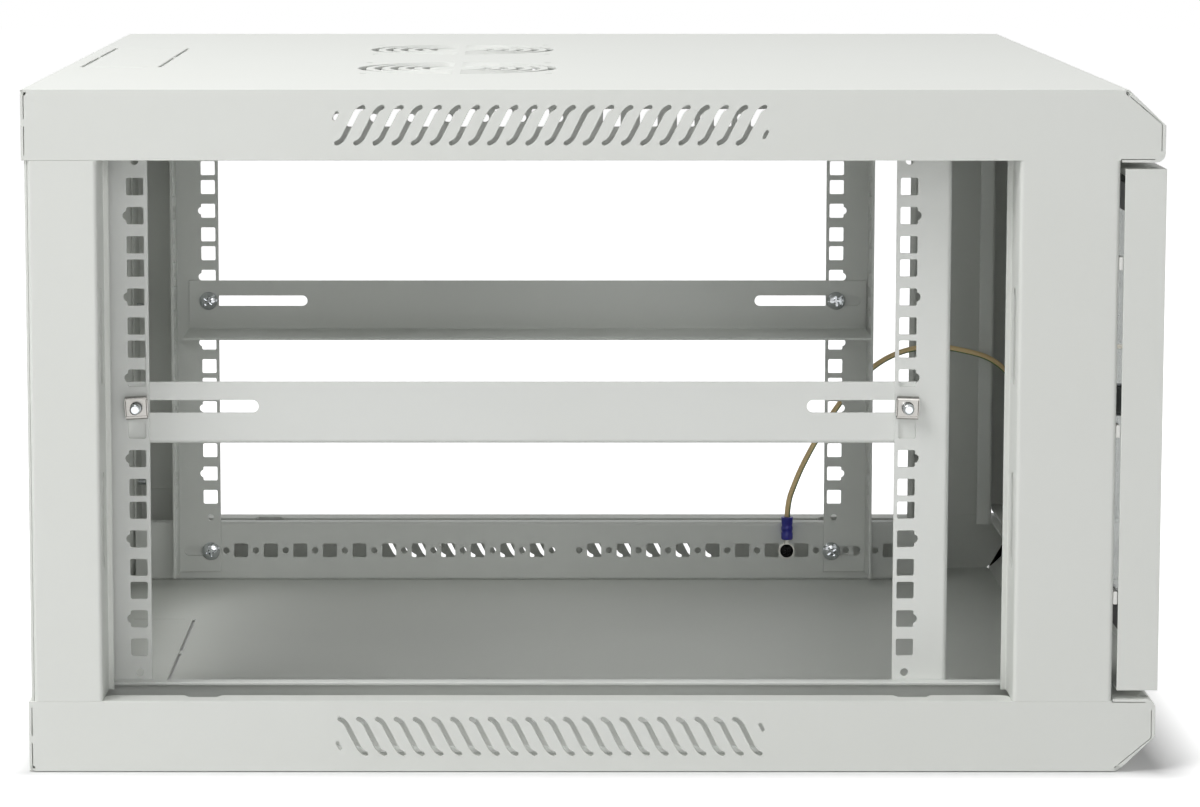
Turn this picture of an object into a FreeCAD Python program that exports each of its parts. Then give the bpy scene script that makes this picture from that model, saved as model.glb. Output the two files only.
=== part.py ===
import FreeCAD, Part
import math
import os
import re

# Wall mount network cabinet, six rack units high, with both side panels taken off.
# X runs across the cabinet, -Y is the door side and +Z is up. The origin is the middle
# of the base of the whole part. Left and right are as seen from in front of the door.

DOC = FreeCAD.newDocument("network_cabinet")

# Driving sizes in millimetres.
SIZES = [
    ("overall_width", 600, "outside width of the cabinet"),
    ("overall_depth", 608, "from the door face to the back of the cover"),
    ("overall_height", 368, "outside height"),
    ("skin", 1.5, "sheet of the cover, tray, posts, struts and door"),
    ("bend", 0.8, "inside radius of every folded corner"),
    ("bottom_skirt", 38.4, "height of the tray's skirt"),
    ("top_skirt", 37.6, "height of the cover's skirt"),
    ("crease_run", 20, "depth of the slope along the front edges"),
    ("crease_rise", 19, "height of the slope along the front edges"),
    ("cover_setback", 1, "cover and tray stand back from the door face"),
    ("seam_edge", 1.9, "front fold edge seen beside the seam"),
    ("seam_gap", 0.5, "open seam between the skirt and the front fold"),
    ("seam_weld", 5, "welded length below the seam"),
    ("relief_radius", 1.7, "corner relief hole of the folded sheet"),
    ("skirt_lip", 16, "inward lip along the side opening"),
    ("lip_corner", 6, "rounded corners of the inward lip"),
    ("notch_offset", 43, "from the post to the notch in the lip"),
    ("notch_width", 20, "notch for the side panel's hook"),
    ("notch_depth", 5, "notch for the side panel's hook"),
    ("front_lip", 23, "depth of the lips under and over the door"),
    ("lip_rise", 1.1, "from the side opening's edge to the lip's face on the door side"),
    ("lip_bend", 5, "outside radius of the fold between the front wall and its lip"),
    ("lip_seam", 0.4, "open seam between the skirt's edge and the front lip"),
    ("lip_seam_start", 5.4, "welded part of that seam, from the front face"),
    ("lip_slit", 0.7, "slit between the front lip's end and the post"),
    ("rear_seam", 0.4, "open seam beside the rear wall"),
    ("rear_seam_start", 3, "from the floor or the roof to the rear seam"),
    ("rear_weld_start", 15.5, "from the floor or the roof to the rear seam's weld"),
    ("rear_weld_end", 19.5, "from the floor or the roof to the weld's other end"),
    ("rear_seam_end", 35, "from the floor or the roof to the end of the rear seam"),
    ("rear_post_width", 37, "rear post along Y"),
    ("front_post_width", 53.3, "front post along Y"),
    ("post_return", 32, "inward flange of each post"),
    ("post_hem", 3, "hem at the edge of the inward flange"),
    ("post_front_flange", 40, "front flange beside the door opening"),
    ("post_front_lip", 10, "in-turned edge of the front flange"),
    ("post_rear_flange", 38, "rear flange behind the panel's edge"),
    ("post_slot_width", 10, "slots in the inward flange"),
    ("post_slot_length", 52.5, "slots in the inward flange"),
    ("post_slot_low", 108.4, "lower slot's bottom end"),
    ("post_slot_high", 208.4, "upper slot's bottom end"),
    ("tab_length", 18, "post tab welded inside each skirt"),
    ("tab_depth", 30, "rear post's tab along Y"),
    ("front_tab_depth", 20, "front post's tab along Y"),
    ("rail_spacing", 506, "outside to outside of the left and right rails"),
    ("rail_column", 465.1, "left to right spacing of the rack holes"),
    ("rail_setback", 132.1, "from the door face to the holes in the front rails' sides"),
    ("rail_rear_setback", 55.6, "from the rear face to the holes in the rear rails' sides"),
    ("rail_edge", 6.8, "from the side holes to the rail's free edge"),
    ("rail_side", 30, "side leg of the rail"),
    ("rail_face", 28, "front leg of the rail"),
    ("rail_sheet", 2, "sheet of the rails"),
    ("rail_clear", 6, "from the roof or floor sheet to the rail's end"),
    ("rack_base", 52.15, "height of the lowest rack unit"),
    ("rack_unit", 44.45, "pitch of the rack units"),
    ("rack_units", 6, "number of rack units"),
    ("hole_low", 6.35, "first hole above the unit's base"),
    ("hole_step", 15.875, "step between the three holes of a unit"),
    ("square_hole", 9.5, "square hole for a cage nut"),
    ("square_corner", 1, "corner radius of a square hole"),
    ("key_notch", 2, "notch beside each unit's middle hole"),
    ("key_notch_radius", 2.6, "notch beside each unit's middle hole"),
    ("round_hole", 2.2, "radius of the small round holes"),
    ("rail_round_inset", 7.65, "from the rack units to the small round holes"),
    ("strut_sheet_low", 39.3, "height of the lower struts' web"),
    ("strut_sheet_high", 35.6, "height of the upper struts' web"),
    ("strut_foot", 13.5, "strut flange on the floor or roof sheet"),
    ("strut_rim", 9.5, "strut flange beside the side opening"),
    ("strut_row_low", 21.6, "height of the lower struts' hole row"),
    ("strut_row_drop", 18.1, "from the top down to the upper struts' hole row"),
    ("strut_setback", 58, "from the door face to the struts' front ends"),
    ("strut_pattern_middle", 9, "Y of the middle of the hole pattern"),
    ("strut_pitch", 20, "pitch of the squares and of the rounds"),
    ("strut_first_square", 19.3, "from the middle to the first square"),
    ("strut_first_round", 9.25, "from the middle to the first round hole"),
    ("strut_pairs", 12, "squares on each side of the middle"),
    ("foot_slot_length", 24, "slot at each end of a rail"),
    ("foot_slot_height", 6.6, "slot at each end of a rail"),
    ("bracket_sheet", 1.6, "sheet of the side brackets"),
    ("bracket_height", 34, "upright leg of a side bracket"),
    ("bracket_shelf", 51, "shelf leg of a side bracket"),
    ("bracket_below", 20.4, "from the screw down to the shelf"),
    ("bracket_front_gap", 3.3, "from the front rail's face to the bracket's end"),
    ("bracket_rear_gap", 10, "from the rear rail's face to the bracket's end"),
    ("bracket_slot_length", 71, "slot for each bracket screw"),
    ("bracket_slot_height", 7, "slot for each bracket screw"),
    ("bracket_slot_front", 13, "front slot's end past the screw, beside its round end"),
    ("bracket_slot_rear", 1.3, "rear slot's end past the screw, beside its round end"),
    ("bracket_hole_unit", 3, "rack units below the bracket's holes"),
    ("screw_radius", 3, "shank of an M6 screw"),
    ("screw_length", 16, "under the head"),
    ("screw_head_radius", 6, "pan head"),
    ("screw_head_height", 3.4, "pan head"),
    ("recess_width", 1.1, "arms of the cross recess"),
    ("recess_length", 6.2, "arms of the cross recess"),
    ("recess_depth", 2, "arms of the cross recess"),
    ("nut_side", 12.4, "cage nut"),
    ("nut_depth", 5.6, "cage nut"),
    ("nut_boss", 8.8, "boss of the cage nut in its square hole"),
    ("nut_bore", 3.1, "bore radius of the cage nut"),
    ("panel_overlap", 26, "rear panel behind the cover and the tray"),
    ("panel_screw_radius", 2.5, "shank of an M5 screw"),
    ("panel_screw_head", 4.75, "head radius of an M5 screw"),
    ("panel_screw_height", 1.2, "flat head of an M5 screw"),
    ("panel_screw_length", 8, "under the head"),
    ("panel_screw_inset", 20, "from the cabinet's side"),
    ("panel_screw_step", 120, "height between the panel screws"),
    ("wall_hole_radius", 5.5, "holes for the wall anchors"),
    ("wall_hole_across", 440, "wall anchor spacing along X"),
    ("wall_hole_up", 250, "wall anchor spacing along Z"),
    ("entry_width", 260, "rear cable entry"),
    ("entry_height", 60, "rear cable entry"),
    ("entry_bottom", 62, "height of the rear cable entry's lower edge"),
    ("entry_corner", 10, "corner radius of the rear cable entry"),
    ("trim_wall", 2, "edge trim each side of the panel"),
    ("trim_reach", 6, "edge trim over the panel"),
    ("trim_rear", 0.8, "edge trim behind the panel"),
    ("vent_count", 22, "slots in each skirt"),
    ("vent_pitch", 10.13, "pitch of the slots"),
    ("vent_width", 2.6, "width of a slot"),
    ("vent_middle", 23.1, "Y of the middle of the vent field"),
    ("vent_straight", 13.5, "straight part of a slot"),
    ("vent_bend", 7.2, "bend radius at each end of a slot"),
    ("vent_steep", 63, "slope of the straight part in degrees"),
    ("vent_shallow", 20, "slope at the ends in degrees"),
    ("vent_stub_length", 5.2, "short slot at each end of the field"),
    ("vent_stub_width", 2, "short slot at each end of the field"),
    ("vent_stub_rise", 5, "height of the short slots above or below the middle"),
    ("fan_offset", 100, "X of the fan grilles"),
    ("fan_setback", 228.3, "from the rear face to the middle of the fan grilles"),
    ("fan_radius", 57.3, "outside of the outermost ring slot"),
    ("fan_pitch", 9.2, "step from ring to ring"),
    ("fan_slot", 4.6, "width of a ring slot"),
    ("fan_rings", 5, "ring slots of a grille"),
    ("fan_bridge", 5, "bar across the rings"),
    ("fan_square", 105, "fan screw hole spacing"),
    ("knockout_middle", 12, "X of the middle of the cable knock-out"),
    ("knockout_length", 208, "cable knock-out along X"),
    ("knockout_setback", 10, "from the rear face to the rear slit"),
    ("knockout_depth", 45, "from the rear slit to the front slit"),
    ("knockout_slit", 2, "width of the slits"),
    ("knockout_bridge", 5, "metal left between the slits"),
    ("door_depth", 22, "door along Y"),
    ("door_bottom_gap", 5.7, "from the tray to the door"),
    ("door_top_gap", 4.6, "from the door to the cover"),
    ("door_side_gap", 1, "door inside the cabinet's width"),
    ("post_setback", 24.7, "from the door face to the front posts"),
    ("window_side", 84, "door frame beside the glazed opening"),
    ("window_margin", 31, "door frame above and below the glazed opening"),
    ("glass_sheet", 4, "tempered glass"),
    ("glass_overlap", 13, "glass behind the frame"),
    ("seal_wall", 3, "rubber around the glass edge"),
    ("hinge_inset", 9.5, "hinge axis from the cabinet's side"),
    ("hinge_depth", 6.6, "hinge axis behind the door face"),
    ("spare_hole", 12, "from the hinge holes to the small holes beside them"),
    ("pin_radius", 3, "hinge pins"),
    ("pin_clear", 0.05, "running clearance of the hinge pins"),
    ("pin_reach", 4, "pin past the lip"),
    ("pin_travel", 9, "travel of the sprung pin"),
    ("pin_collar", 4.6, "collar radius of the sprung pin"),
    ("pin_collar_height", 2, "collar of the sprung pin"),
    ("upper_collar", 6, "collar height of the upper pin, inside the door"),
    ("guide_foot", 15, "from the door's lower edge to the guide's plate"),
    ("guide_height", 50, "guide of the sprung pin"),
    ("guide_sheet", 2, "guide of the sprung pin"),
    ("finger_length", 14, "finger bar of the sprung pin"),
    ("spring_radius", 4, "middle of the spring wire"),
    ("spring_wire", 0.5, "radius of the spring wire"),
    ("spring_turns", 8, "turns of the spring"),
    ("lock_inset", 53, "from the cabinet's side to the lock"),
    ("lock_rise", 10.6, "lock above the middle of the door opening"),
    ("lock_flange_radius", 12, "face of the lock housing"),
    ("lock_body_radius", 9, "threaded body of the lock housing"),
    ("lock_length", 26.4, "lock housing along Y"),
    ("lock_nut_radius", 14, "nut of the lock housing"),
    ("lock_nut_height", 4, "nut of the lock housing"),
    ("plug_radius", 6.5, "turning plug of the lock"),
    ("plug_clear", 0.05, "running clearance of the plug"),
    ("plug_tail", 4.5, "radius of the plug's tail in the cam"),
    ("cam_screw_radius", 5.5, "head of the cam's screw"),
    ("cam_screw_height", 3, "head of the cam's screw"),
    ("key_width", 1.2, "key way"),
    ("key_height", 8, "key way"),
    ("key_depth", 12, "key way"),
    ("cam_gap", 0.3, "from the housing to the cam"),
    ("cam_sheet", 2, "cam"),
    ("cam_width", 14, "cam"),
    ("cam_reach", 34, "cam from the lock's axis to its end"),
    ("strike_height", 52, "notch in the front post's in-turned edge"),
    ("strike_drop", 37, "from the lock's axis to the notch's lower end"),
    ("strike_depth", 8.5, "notch in the front post's in-turned edge"),
    ("bumper_height", 7, "nylon bumpers of the door"),
    ("bumper_width", 10, "nylon bumpers of the door"),
    ("bumper_play", 0.3, "from the bumpers to the closed door"),
    ("bumper_rise", 0.6, "middle bumper above the middle of the door opening"),
    ("bumper_inset", 1, "bumpers from the cabinet's side"),
    ("bumper_step", 90.4, "height between the bumpers"),
    ("stud_radius", 3, "earth stud on the door"),
    ("stud_length", 16, "earth stud on the door"),
    ("stud_nut_radius", 5.5, "nut of the earth stud"),
    ("stud_nut_height", 5, "nut of the earth stud"),
    ("stud_past_nut", 2, "earth stud past its nut"),
    ("stud_inset", 45, "from the cabinet's side to the earth stud"),
    ("stud_rise", 50.9, "earth stud above the door's lower edge"),
    ("terminal_radius", 5.6, "ring terminals"),
    ("terminal_sheet", 1, "ring terminals"),
    ("neck_width", 3, "ring terminals, between the ring and the barrel"),
    ("neck_start", 4.6, "from the middle of the ring to its neck"),
    ("neck_lap", 2, "neck inside the barrel"),
    ("cabinet_neck", 2.6, "from the cabinet terminal's ring to its sleeve"),
    ("door_neck", 4.4, "from the door terminal's ring to its sleeve"),
    ("bolt_head_radius", 4.4, "earth bolt"),
    ("bolt_head_height", 4, "earth bolt"),
    ("bolt_past_strut", 5, "earth bolt past the strut"),
    ("sleeve_radius", 4.1, "crimp sleeves"),
    ("sleeve_length", 15.5, "crimp sleeves"),
    ("sleeve_cap", 2, "crimp sleeve past the terminal's barrel"),
    ("barrel_radius", 2, "terminal barrel in the crimp sleeve"),
    ("wire_radius", 1.9, "earth wire"),
]

SHEET = DOC.addObject("Spreadsheet::Sheet", "sizes")
for row, (alias, number, meaning) in enumerate(SIZES, start=1):
    SHEET.set("A%d" % row, meaning)
    SHEET.set("B%d" % row, str(number))
    SHEET.setAlias("B%d" % row, alias)
DOC.recompute()

# Places and lengths that follow from the driving sizes.
PLACES = [
    ("half_width", "overall_width / 2"),
    ("inner_half", "half_width - skin"),
    ("rear_face", "overall_depth / 2"),
    ("door_face", "-overall_depth / 2"),
    ("cover_face", "door_face + cover_setback"),
    ("roof_under", "overall_height - skin"),
    ("opening_low", "bottom_skirt"),
    ("opening_high", "overall_height - top_skirt"),
    ("middle_z", "(opening_low + opening_high) / 2"),
    ("slope_length", "sqrt(crease_run ^ 2 + crease_rise ^ 2)"),
    ("inner_run", "crease_run - skin + skin * (slope_length - crease_run) / crease_rise"),
    ("inner_rise", "crease_rise - skin + skin * (slope_length - crease_rise) / crease_run"),
    ("panel_back", "rear_face - skin"),
    ("panel_front", "panel_back - skin"),
    ("rear_post_front", "panel_front - rear_post_width"),
    ("post_face", "door_face + post_setback"),
    ("front_post_rear", "post_face + front_post_width"),
    ("front_opening", "half_width - post_front_flange"),
    ("rail_outer", "rail_spacing / 2"),
    ("rail_inner", "rail_outer - rail_sheet"),
    ("rail_low", "skin + rail_clear"),
    ("rail_high", "roof_under - rail_clear"),
    ("rail_front_column", "door_face + rail_setback"),
    ("rail_rear_column", "rear_face - rail_rear_setback"),
    ("rail_mirror", "(rail_front_column + rail_rear_column) / 2"),
    ("rail_free_edge", "rail_front_column + rail_edge"),
    ("rail_front_face", "rail_free_edge - rail_side"),
    ("rail_rear_face", "2 * rail_mirror - rail_front_face"),
    ("rack_top", "rack_base + rack_units * rack_unit"),
    ("bracket_hole_z", "rack_base + hole_low + bracket_hole_unit * rack_unit"),
    ("bracket_shelf_z", "bracket_hole_z - bracket_below"),
    ("bracket_face", "rail_inner - bracket_sheet"),
    ("bracket_front", "rail_front_face + bracket_front_gap"),
    ("bracket_rear", "rail_rear_face - bracket_rear_gap"),
    ("strut_front_end", "door_face + strut_setback"),
    ("strut_row_high", "overall_height - strut_row_drop"),
    ("fan_y", "rear_face - fan_setback"),
    ("knockout_rear", "rear_face - knockout_setback"),
    ("knockout_front", "knockout_rear - knockout_depth"),
    ("strut_outer", "rail_outer + skin"),
    ("strut_low_rim", "skin + strut_sheet_low"),
    ("strut_high_rim", "roof_under - strut_sheet_high"),
    ("door_low", "opening_low + door_bottom_gap"),
    ("door_high", "opening_high - door_top_gap"),
    ("door_back", "door_face + door_depth"),
    ("door_half", "half_width - door_side_gap"),
    ("window_half", "door_half - window_side"),
    ("window_low", "door_low + window_margin"),
    ("window_high", "door_high - window_margin"),
    ("glass_half", "window_half + glass_overlap"),
    ("glass_front", "door_face + skin"),
    ("glass_back", "glass_front + glass_sheet"),
    ("hinge_x", "half_width - hinge_inset"),
    ("hinge_y", "door_face + hinge_depth"),
    ("pin_bore", "pin_radius + pin_clear"),
    ("tray_lip", "opening_low + lip_rise"),
    ("cover_lip", "opening_high - lip_rise"),
    ("pin_low", "tray_lip - skin - pin_reach"),
    ("pin_high", "cover_lip + skin + pin_reach"),
    ("guide_low", "door_low + skin"),
    ("guide_high", "guide_low + guide_height"),
    ("collar_low", "guide_low"),
    ("collar_high", "collar_low + pin_collar_height"),
    ("lock_x", "lock_inset - half_width"),
    ("lock_z", "middle_z + lock_rise"),
    ("bumper_z", "middle_z + bumper_rise"),
    ("stud_x", "half_width - stud_inset"),
    ("stud_z", "door_low + stud_rise"),
    ("lock_end", "door_face + lock_length"),
    ("cam_front", "lock_end + cam_gap"),
    ("cam_back", "cam_front + cam_sheet"),
    ("strike_low", "lock_z - strike_drop"),
    ("stud_end", "glass_front + stud_length"),
    ("door_ring_y", "stud_end - stud_past_nut - stud_nut_height - terminal_sheet"),
    ("door_sleeve_y", "door_ring_y + terminal_sheet / 2"),
    ("door_sleeve_z", "stud_z + terminal_radius + door_neck"),
    ("cabinet_sleeve_z", "strut_row_low + terminal_radius + cabinet_neck"),
    ("cabinet_sleeve_x", "rail_outer - sleeve_radius"),
    ("bolt_y", "strut_pattern_middle - strut_first_round - 7 * strut_pitch"),
    ("front_foot_y", "strut_pattern_middle - strut_first_square - 8 * strut_pitch"),
    ("rear_foot_y", "strut_pattern_middle + strut_first_square + 11 * strut_pitch"),
]

KNOWN = {alias: "sizes" for alias, number, meaning in SIZES}
KNOWN.update({name: "places" for name, rule in PLACES})


def bind(rule):
    """An expression with every named value led back to its sheet or set."""
    def full(word):
        name = word.group()
        return "%s.%s" % (KNOWN[name], name) if name in KNOWN else name
    return re.sub(r"[a-z_]{3,}", full, rule)


VALUES = DOC.addObject("App::VarSet", "places")
for name, rule in PLACES:
    VALUES.addProperty("App::PropertyFloat", name, "Places", rule)
for name, rule in PLACES:
    VALUES.setExpression(name, bind(rule))
DOC.recompute()


def size(name):
    """The number behind a named value."""
    if KNOWN[name] == "sizes":
        return float(SHEET.get(name))
    return float(getattr(VALUES, name))


# Primitives whose sizes and places are bound to the named values.

def lay(piece, x, y, z):
    for axis, rule in zip("xyz", (x, y, z)):
        piece.setExpression("Placement.Base.%s" % axis, bind(rule))
    return piece


def box(name, x, y, z):
    piece = DOC.addObject("Part::Box", name)
    for side, (low, high) in zip(("Length", "Width", "Height"), (x, y, z)):
        piece.setExpression(side, bind("(%s) - (%s)" % (high, low)))
    return lay(piece, x[0], y[0], z[0])


TURNS = {
    "x": FreeCAD.Rotation(FreeCAD.Vector(0, 1, 0), 90),
    "y": FreeCAD.Rotation(FreeCAD.Vector(1, 0, 0), -90),
    "z": FreeCAD.Rotation(),
}


def rod(name, axis, x, y, z, radius, length):
    piece = DOC.addObject("Part::Cylinder", name)
    piece.Placement.Rotation = TURNS[axis]
    piece.setExpression("Radius", bind(radius))
    piece.setExpression("Height", bind(length))
    return lay(piece, x, y, z)


def feature(name, shape):
    piece = DOC.addObject("Part::Feature", name)
    piece.Shape = shape
    piece.Placement = FreeCAD.Placement()
    return piece


def joined(name, pieces):
    piece = DOC.addObject("Part::MultiFuse", name)
    piece.Shapes = pieces
    piece.Refine = True
    return piece


def cut(name, base, tools):
    piece = DOC.addObject("Part::Cut", name)
    piece.Base = base
    piece.Tool = group(name + "_tools", tools) if len(tools) > 1 else tools[0]
    return piece


def group(name, pieces):
    piece = DOC.addObject("Part::Compound", name)
    piece.Links = pieces
    return piece


def mirror(name, source, axis, plane="0"):
    piece = DOC.addObject("Part::Mirroring", name)
    piece.Source = source
    piece.Normal = {"x": FreeCAD.Vector(1, 0, 0), "y": FreeCAD.Vector(0, 1, 0)}[axis]
    if plane != "0":
        piece.setExpression("Base.%s" % axis, bind(plane))
    return piece


NODES = []


def node(label, piece):
    """Name a finished sub-part. Its label is the name of its file."""
    piece.Label = label
    NODES.append(piece)
    return piece


# Flat outlines, folded strips and their prisms.

def spot(plane, a, b, level):
    """A point of a flat outline, lifted to its level along the plane's normal."""
    return {"xy": FreeCAD.Vector(a, b, level),
            "yz": FreeCAD.Vector(level, a, b),
            "xz": FreeCAD.Vector(a, level, b)}[plane]


def prism(points, plane, start, end):
    """A solid whose outline has the given corners (a, b, rounding radius)."""
    edges = []
    joints = []
    count = len(points)
    for index in range(count):
        a, b, radius = points[index]
        before = points[index - 1]
        after = points[(index + 1) % count]
        here = FreeCAD.Vector(a, b, 0)
        back = (FreeCAD.Vector(before[0], before[1], 0) - here).normalize()
        ahead = (FreeCAD.Vector(after[0], after[1], 0) - here).normalize()
        if radius <= 0:
            joints.append((here, here, None))
            continue
        half = back.getAngle(ahead) / 2
        reach = radius / math.tan(half)
        middle = (back + ahead).normalize()
        crown = here + middle * (radius / math.sin(half) - radius)
        joints.append((here + back * reach, here + ahead * reach, crown))
    for index in range(count):
        enter, leave, crown = joints[index]
        following = joints[(index + 1) % count][0]
        if crown is not None:
            arc = [spot(plane, p.x, p.y, start) for p in (enter, crown, leave)]
            edges.append(Part.Arc(*arc).toShape())
        if leave.distanceToPoint(following) > 1e-6:
            line = [spot(plane, p.x, p.y, start) for p in (leave, following)]
            edges.append(Part.makeLine(*line))
    face = Part.Face(Part.Wire(edges))
    return face.extrude(spot(plane, 0, 0, end - start))


def rectangle(low, high, radius=0):
    return [(low[0], low[1], radius), (high[0], low[1], radius),
            (high[0], high[1], radius), (low[0], high[1], radius)]


def strip(points, sheet, plane, start, end, side=1):
    """Folded sheet along a line of corners, lying to the left (1) or the right (-1) of it."""
    bend = size("bend")
    line = [FreeCAD.Vector(a, b, 0) for a, b in points]
    ways = [(line[i + 1] - line[i]).normalize() for i in range(len(line) - 1)]
    lefts = [FreeCAD.Vector(-way.y, way.x, 0) * side for way in ways]
    near = []
    far = []
    for index, here in enumerate(line):
        if index in (0, len(line) - 1):
            left = lefts[0 if index == 0 else -1]
            near.append((here.x, here.y, 0))
            far.append((here.x + left.x * sheet, here.y + left.y * sheet, 0))
            continue
        first, second = lefts[index - 1], lefts[index]
        push = (first + second) * (sheet / (1 + first.dot(second)))
        turns_in = ways[index].dot(first) > 0
        near.append((here.x, here.y, bend + sheet if turns_in else bend))
        far.append((here.x + push.x, here.y + push.y, bend if turns_in else bend + sheet))
    return prism(near + far[::-1], plane, start, end)


def slot(plane, middle, length, height, start, end):
    """A slot with round ends, its length along the plane's first axis."""
    a, b = middle
    low = (a - length / 2, b - height / 2)
    high = (a + length / 2, b + height / 2)
    return prism(rectangle(low, high, height / 2 - 1e-4), plane, start, end)


def square(plane, a, b, start, end):
    half = size("square_hole") / 2
    points = rectangle((a - half, b - half), (a + half, b + half), size("square_corner"))
    return prism(points, plane, start, end)


def drill(plane, a, b, radius, start, end):
    way = spot(plane, 0, 0, 1)
    return Part.makeCylinder(radius, end - start, spot(plane, a, b, start), way)


# Cover and tray: each is one folded sheet, closed at the sides, with sloped front edges.

def through_skirts(make):
    """A cutter along X through the left skirt, and the same one through the right skirt."""
    reach = size("half_width") + 1
    depth = 2 * size("skin") + 1
    return [make(x, x + depth) for x in (-reach, reach - depth)]


def vent_slot(middle_y, middle_z, lean):
    """One S-shaped slot as cutters through both skirts."""
    steep = math.radians(size("vent_steep"))
    shallow = math.radians(size("vent_shallow"))
    radius = size("vent_bend")
    straight = size("vent_straight") / 2
    points = []
    for sign in (1, -1):
        foot = FreeCAD.Vector(math.cos(steep), math.sin(steep), 0) * (straight * sign)
        hub = foot + FreeCAD.Vector(math.sin(steep), -math.cos(steep), 0) * (radius * sign)
        for turn in (0, 0.5, 1):
            angle = steep + (shallow - steep) * turn
            points.append(hub + FreeCAD.Vector(-math.sin(angle), math.cos(angle), 0) * (radius * sign))
    lift = [FreeCAD.Vector(0, middle_y + p.x * lean, middle_z + p.y) for p in points]
    path = Part.Wire([Part.Arc(lift[5], lift[4], lift[3]).toShape(), Part.makeLine(lift[3], lift[0]),
                      Part.Arc(*lift[0:3]).toShape()])
    face = Part.Face(path.makeOffset2D(size("vent_width") / 2, 0, False, False, False))

    def bar(start, end):
        return face.translated(FreeCAD.Vector(start, 0, 0)).extrude(FreeCAD.Vector(end - start, 0, 0))
    return through_skirts(bar)


def vent_stub(middle_y, middle_z, lean, rise):
    """The short slot that ends the field, in line with where the next S would be."""
    steep = math.radians(size("vent_steep"))
    half, narrow = size("vent_stub_length") / 2, size("vent_stub_width") / 2
    outline = rectangle((-half, -narrow), (half, narrow), narrow - 1e-4)

    def bar(start, end):
        piece = prism(outline, "yz", start, end)
        piece.rotate(FreeCAD.Vector(), FreeCAD.Vector(1, 0, 0),
                     math.degrees(math.atan2(math.sin(steep), lean * math.cos(steep))))
        piece.translate(FreeCAD.Vector(0, middle_y + lean * rise / math.tan(steep), middle_z + rise))
        return piece
    return through_skirts(bar)


def vent_field(name, middle_z, lean):
    count = int(size("vent_count"))
    pitch = size("vent_pitch")
    first = size("vent_middle") + (count - 1) * pitch / 2
    rise = lean * size("vent_stub_rise")
    cutters = vent_stub(first + pitch, middle_z, lean, -rise)
    for index in range(count):
        cutters += vent_slot(first - index * pitch, middle_z, lean)
    cutters += vent_stub(first - count * pitch, middle_z, lean, rise)
    return feature(name, Part.makeCompound(cutters))


def fan_grilles(name):
    low, high = size("roof_under") - 1, size("overall_height") + 1
    bridge = size("fan_bridge") / 2
    outer = size("fan_radius")
    cutters = []
    for sign in (-1, 1):
        x, y = sign * size("fan_offset"), size("fan_y")
        bar = Part.makeBox(2 * outer, 2 * bridge, high - low, FreeCAD.Vector(x - outer, y - bridge, low))
        for index in range(int(size("fan_rings"))):
            radius = outer - index * size("fan_pitch")
            ring = drill("xy", x, y, radius, low, high).cut(
                drill("xy", x, y, radius - size("fan_slot"), low, high))
            cutters += ring.cut(bar).Solids
        half = size("fan_square") / 2
        for across in (-half, half):
            for along in (-half, half):
                cutters.append(drill("xy", x + across, y + along, size("round_hole"), low, high))
    return feature(name, Part.makeCompound(cutters))


def knockout(name, low, high):
    """Slits around a blank that can be broken out for cables."""
    left = size("knockout_middle") - size("knockout_length") / 2
    right = left + size("knockout_length")
    middle = size("knockout_middle")
    gap = size("knockout_bridge") / 2
    slit = size("knockout_slit") / 2
    front, rear = size("knockout_front"), size("knockout_rear")
    cutters = []
    for y in (front, rear):
        for start, end in ((left, middle - gap), (middle + gap, right)):
            cutters.append(prism(rectangle((start, y - slit), (end, y + slit)), "xy", low, high))
    start, end = front + slit + 2 * gap, rear - slit - 2 * gap
    for x in (left, right):
        cutters.append(prism(rectangle((x - slit, start), (x + slit, end)), "xy", low, high))
    return feature(name, Part.makeCompound(cutters))


def seam(name, level, upwards):
    """The open seam where the skirt's edge meets the front fold, on both sides."""
    sign = 1 if upwards else -1
    start = size("cover_face") + size("seam_edge")
    gap = size("seam_gap")
    fold = size("crease_rise")
    run, rise = size("crease_run"), size("crease_rise")
    back = size("seam_edge") * (size("slope_length") - run) / rise
    foot = (start, level - sign * (fold - size("seam_edge") * (size("slope_length") - rise) / run))
    top = (size("cover_face") + run + back - 3 * gap, level - sign * (size("seam_edge") + 3 * gap))
    skirt = size("top_skirt") if upwards else size("bottom_skirt")
    low = (start, level - sign * (skirt - size("seam_weld")))
    out = size("half_width") + 1
    depth = size("skin") + 1
    cutters = []
    for x in (-out, out - depth):
        cutters.append(strip([low, foot, top], gap, "yz", x, x + depth, -sign))
    return feature(name, Part.makeCompound(cutters))


def skirt_lip(name, low, high):
    """Inward lip along one side opening, with round corners and two hook notches."""
    front, rear = size("front_post_rear"), size("rear_post_front")
    outer, inner = -size("inner_half"), -size("half_width") + size("skirt_lip")
    edge = size("notch_offset")
    width = size("notch_width")
    depth = size("notch_depth")
    corner = size("lip_corner")
    points = [(outer, front, 0), (inner, front, corner)]
    for start in (front + edge, rear - edge - width):
        points += [(inner, start, 0), (inner - depth, start + depth / 2, 1),
                   (inner - depth, start + width - depth / 2, 1), (inner, start + width, 0)]
    points += [(inner, rear, corner), (outer, rear, 0)]
    return feature(name, prism(points, "xy", low, high))


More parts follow.
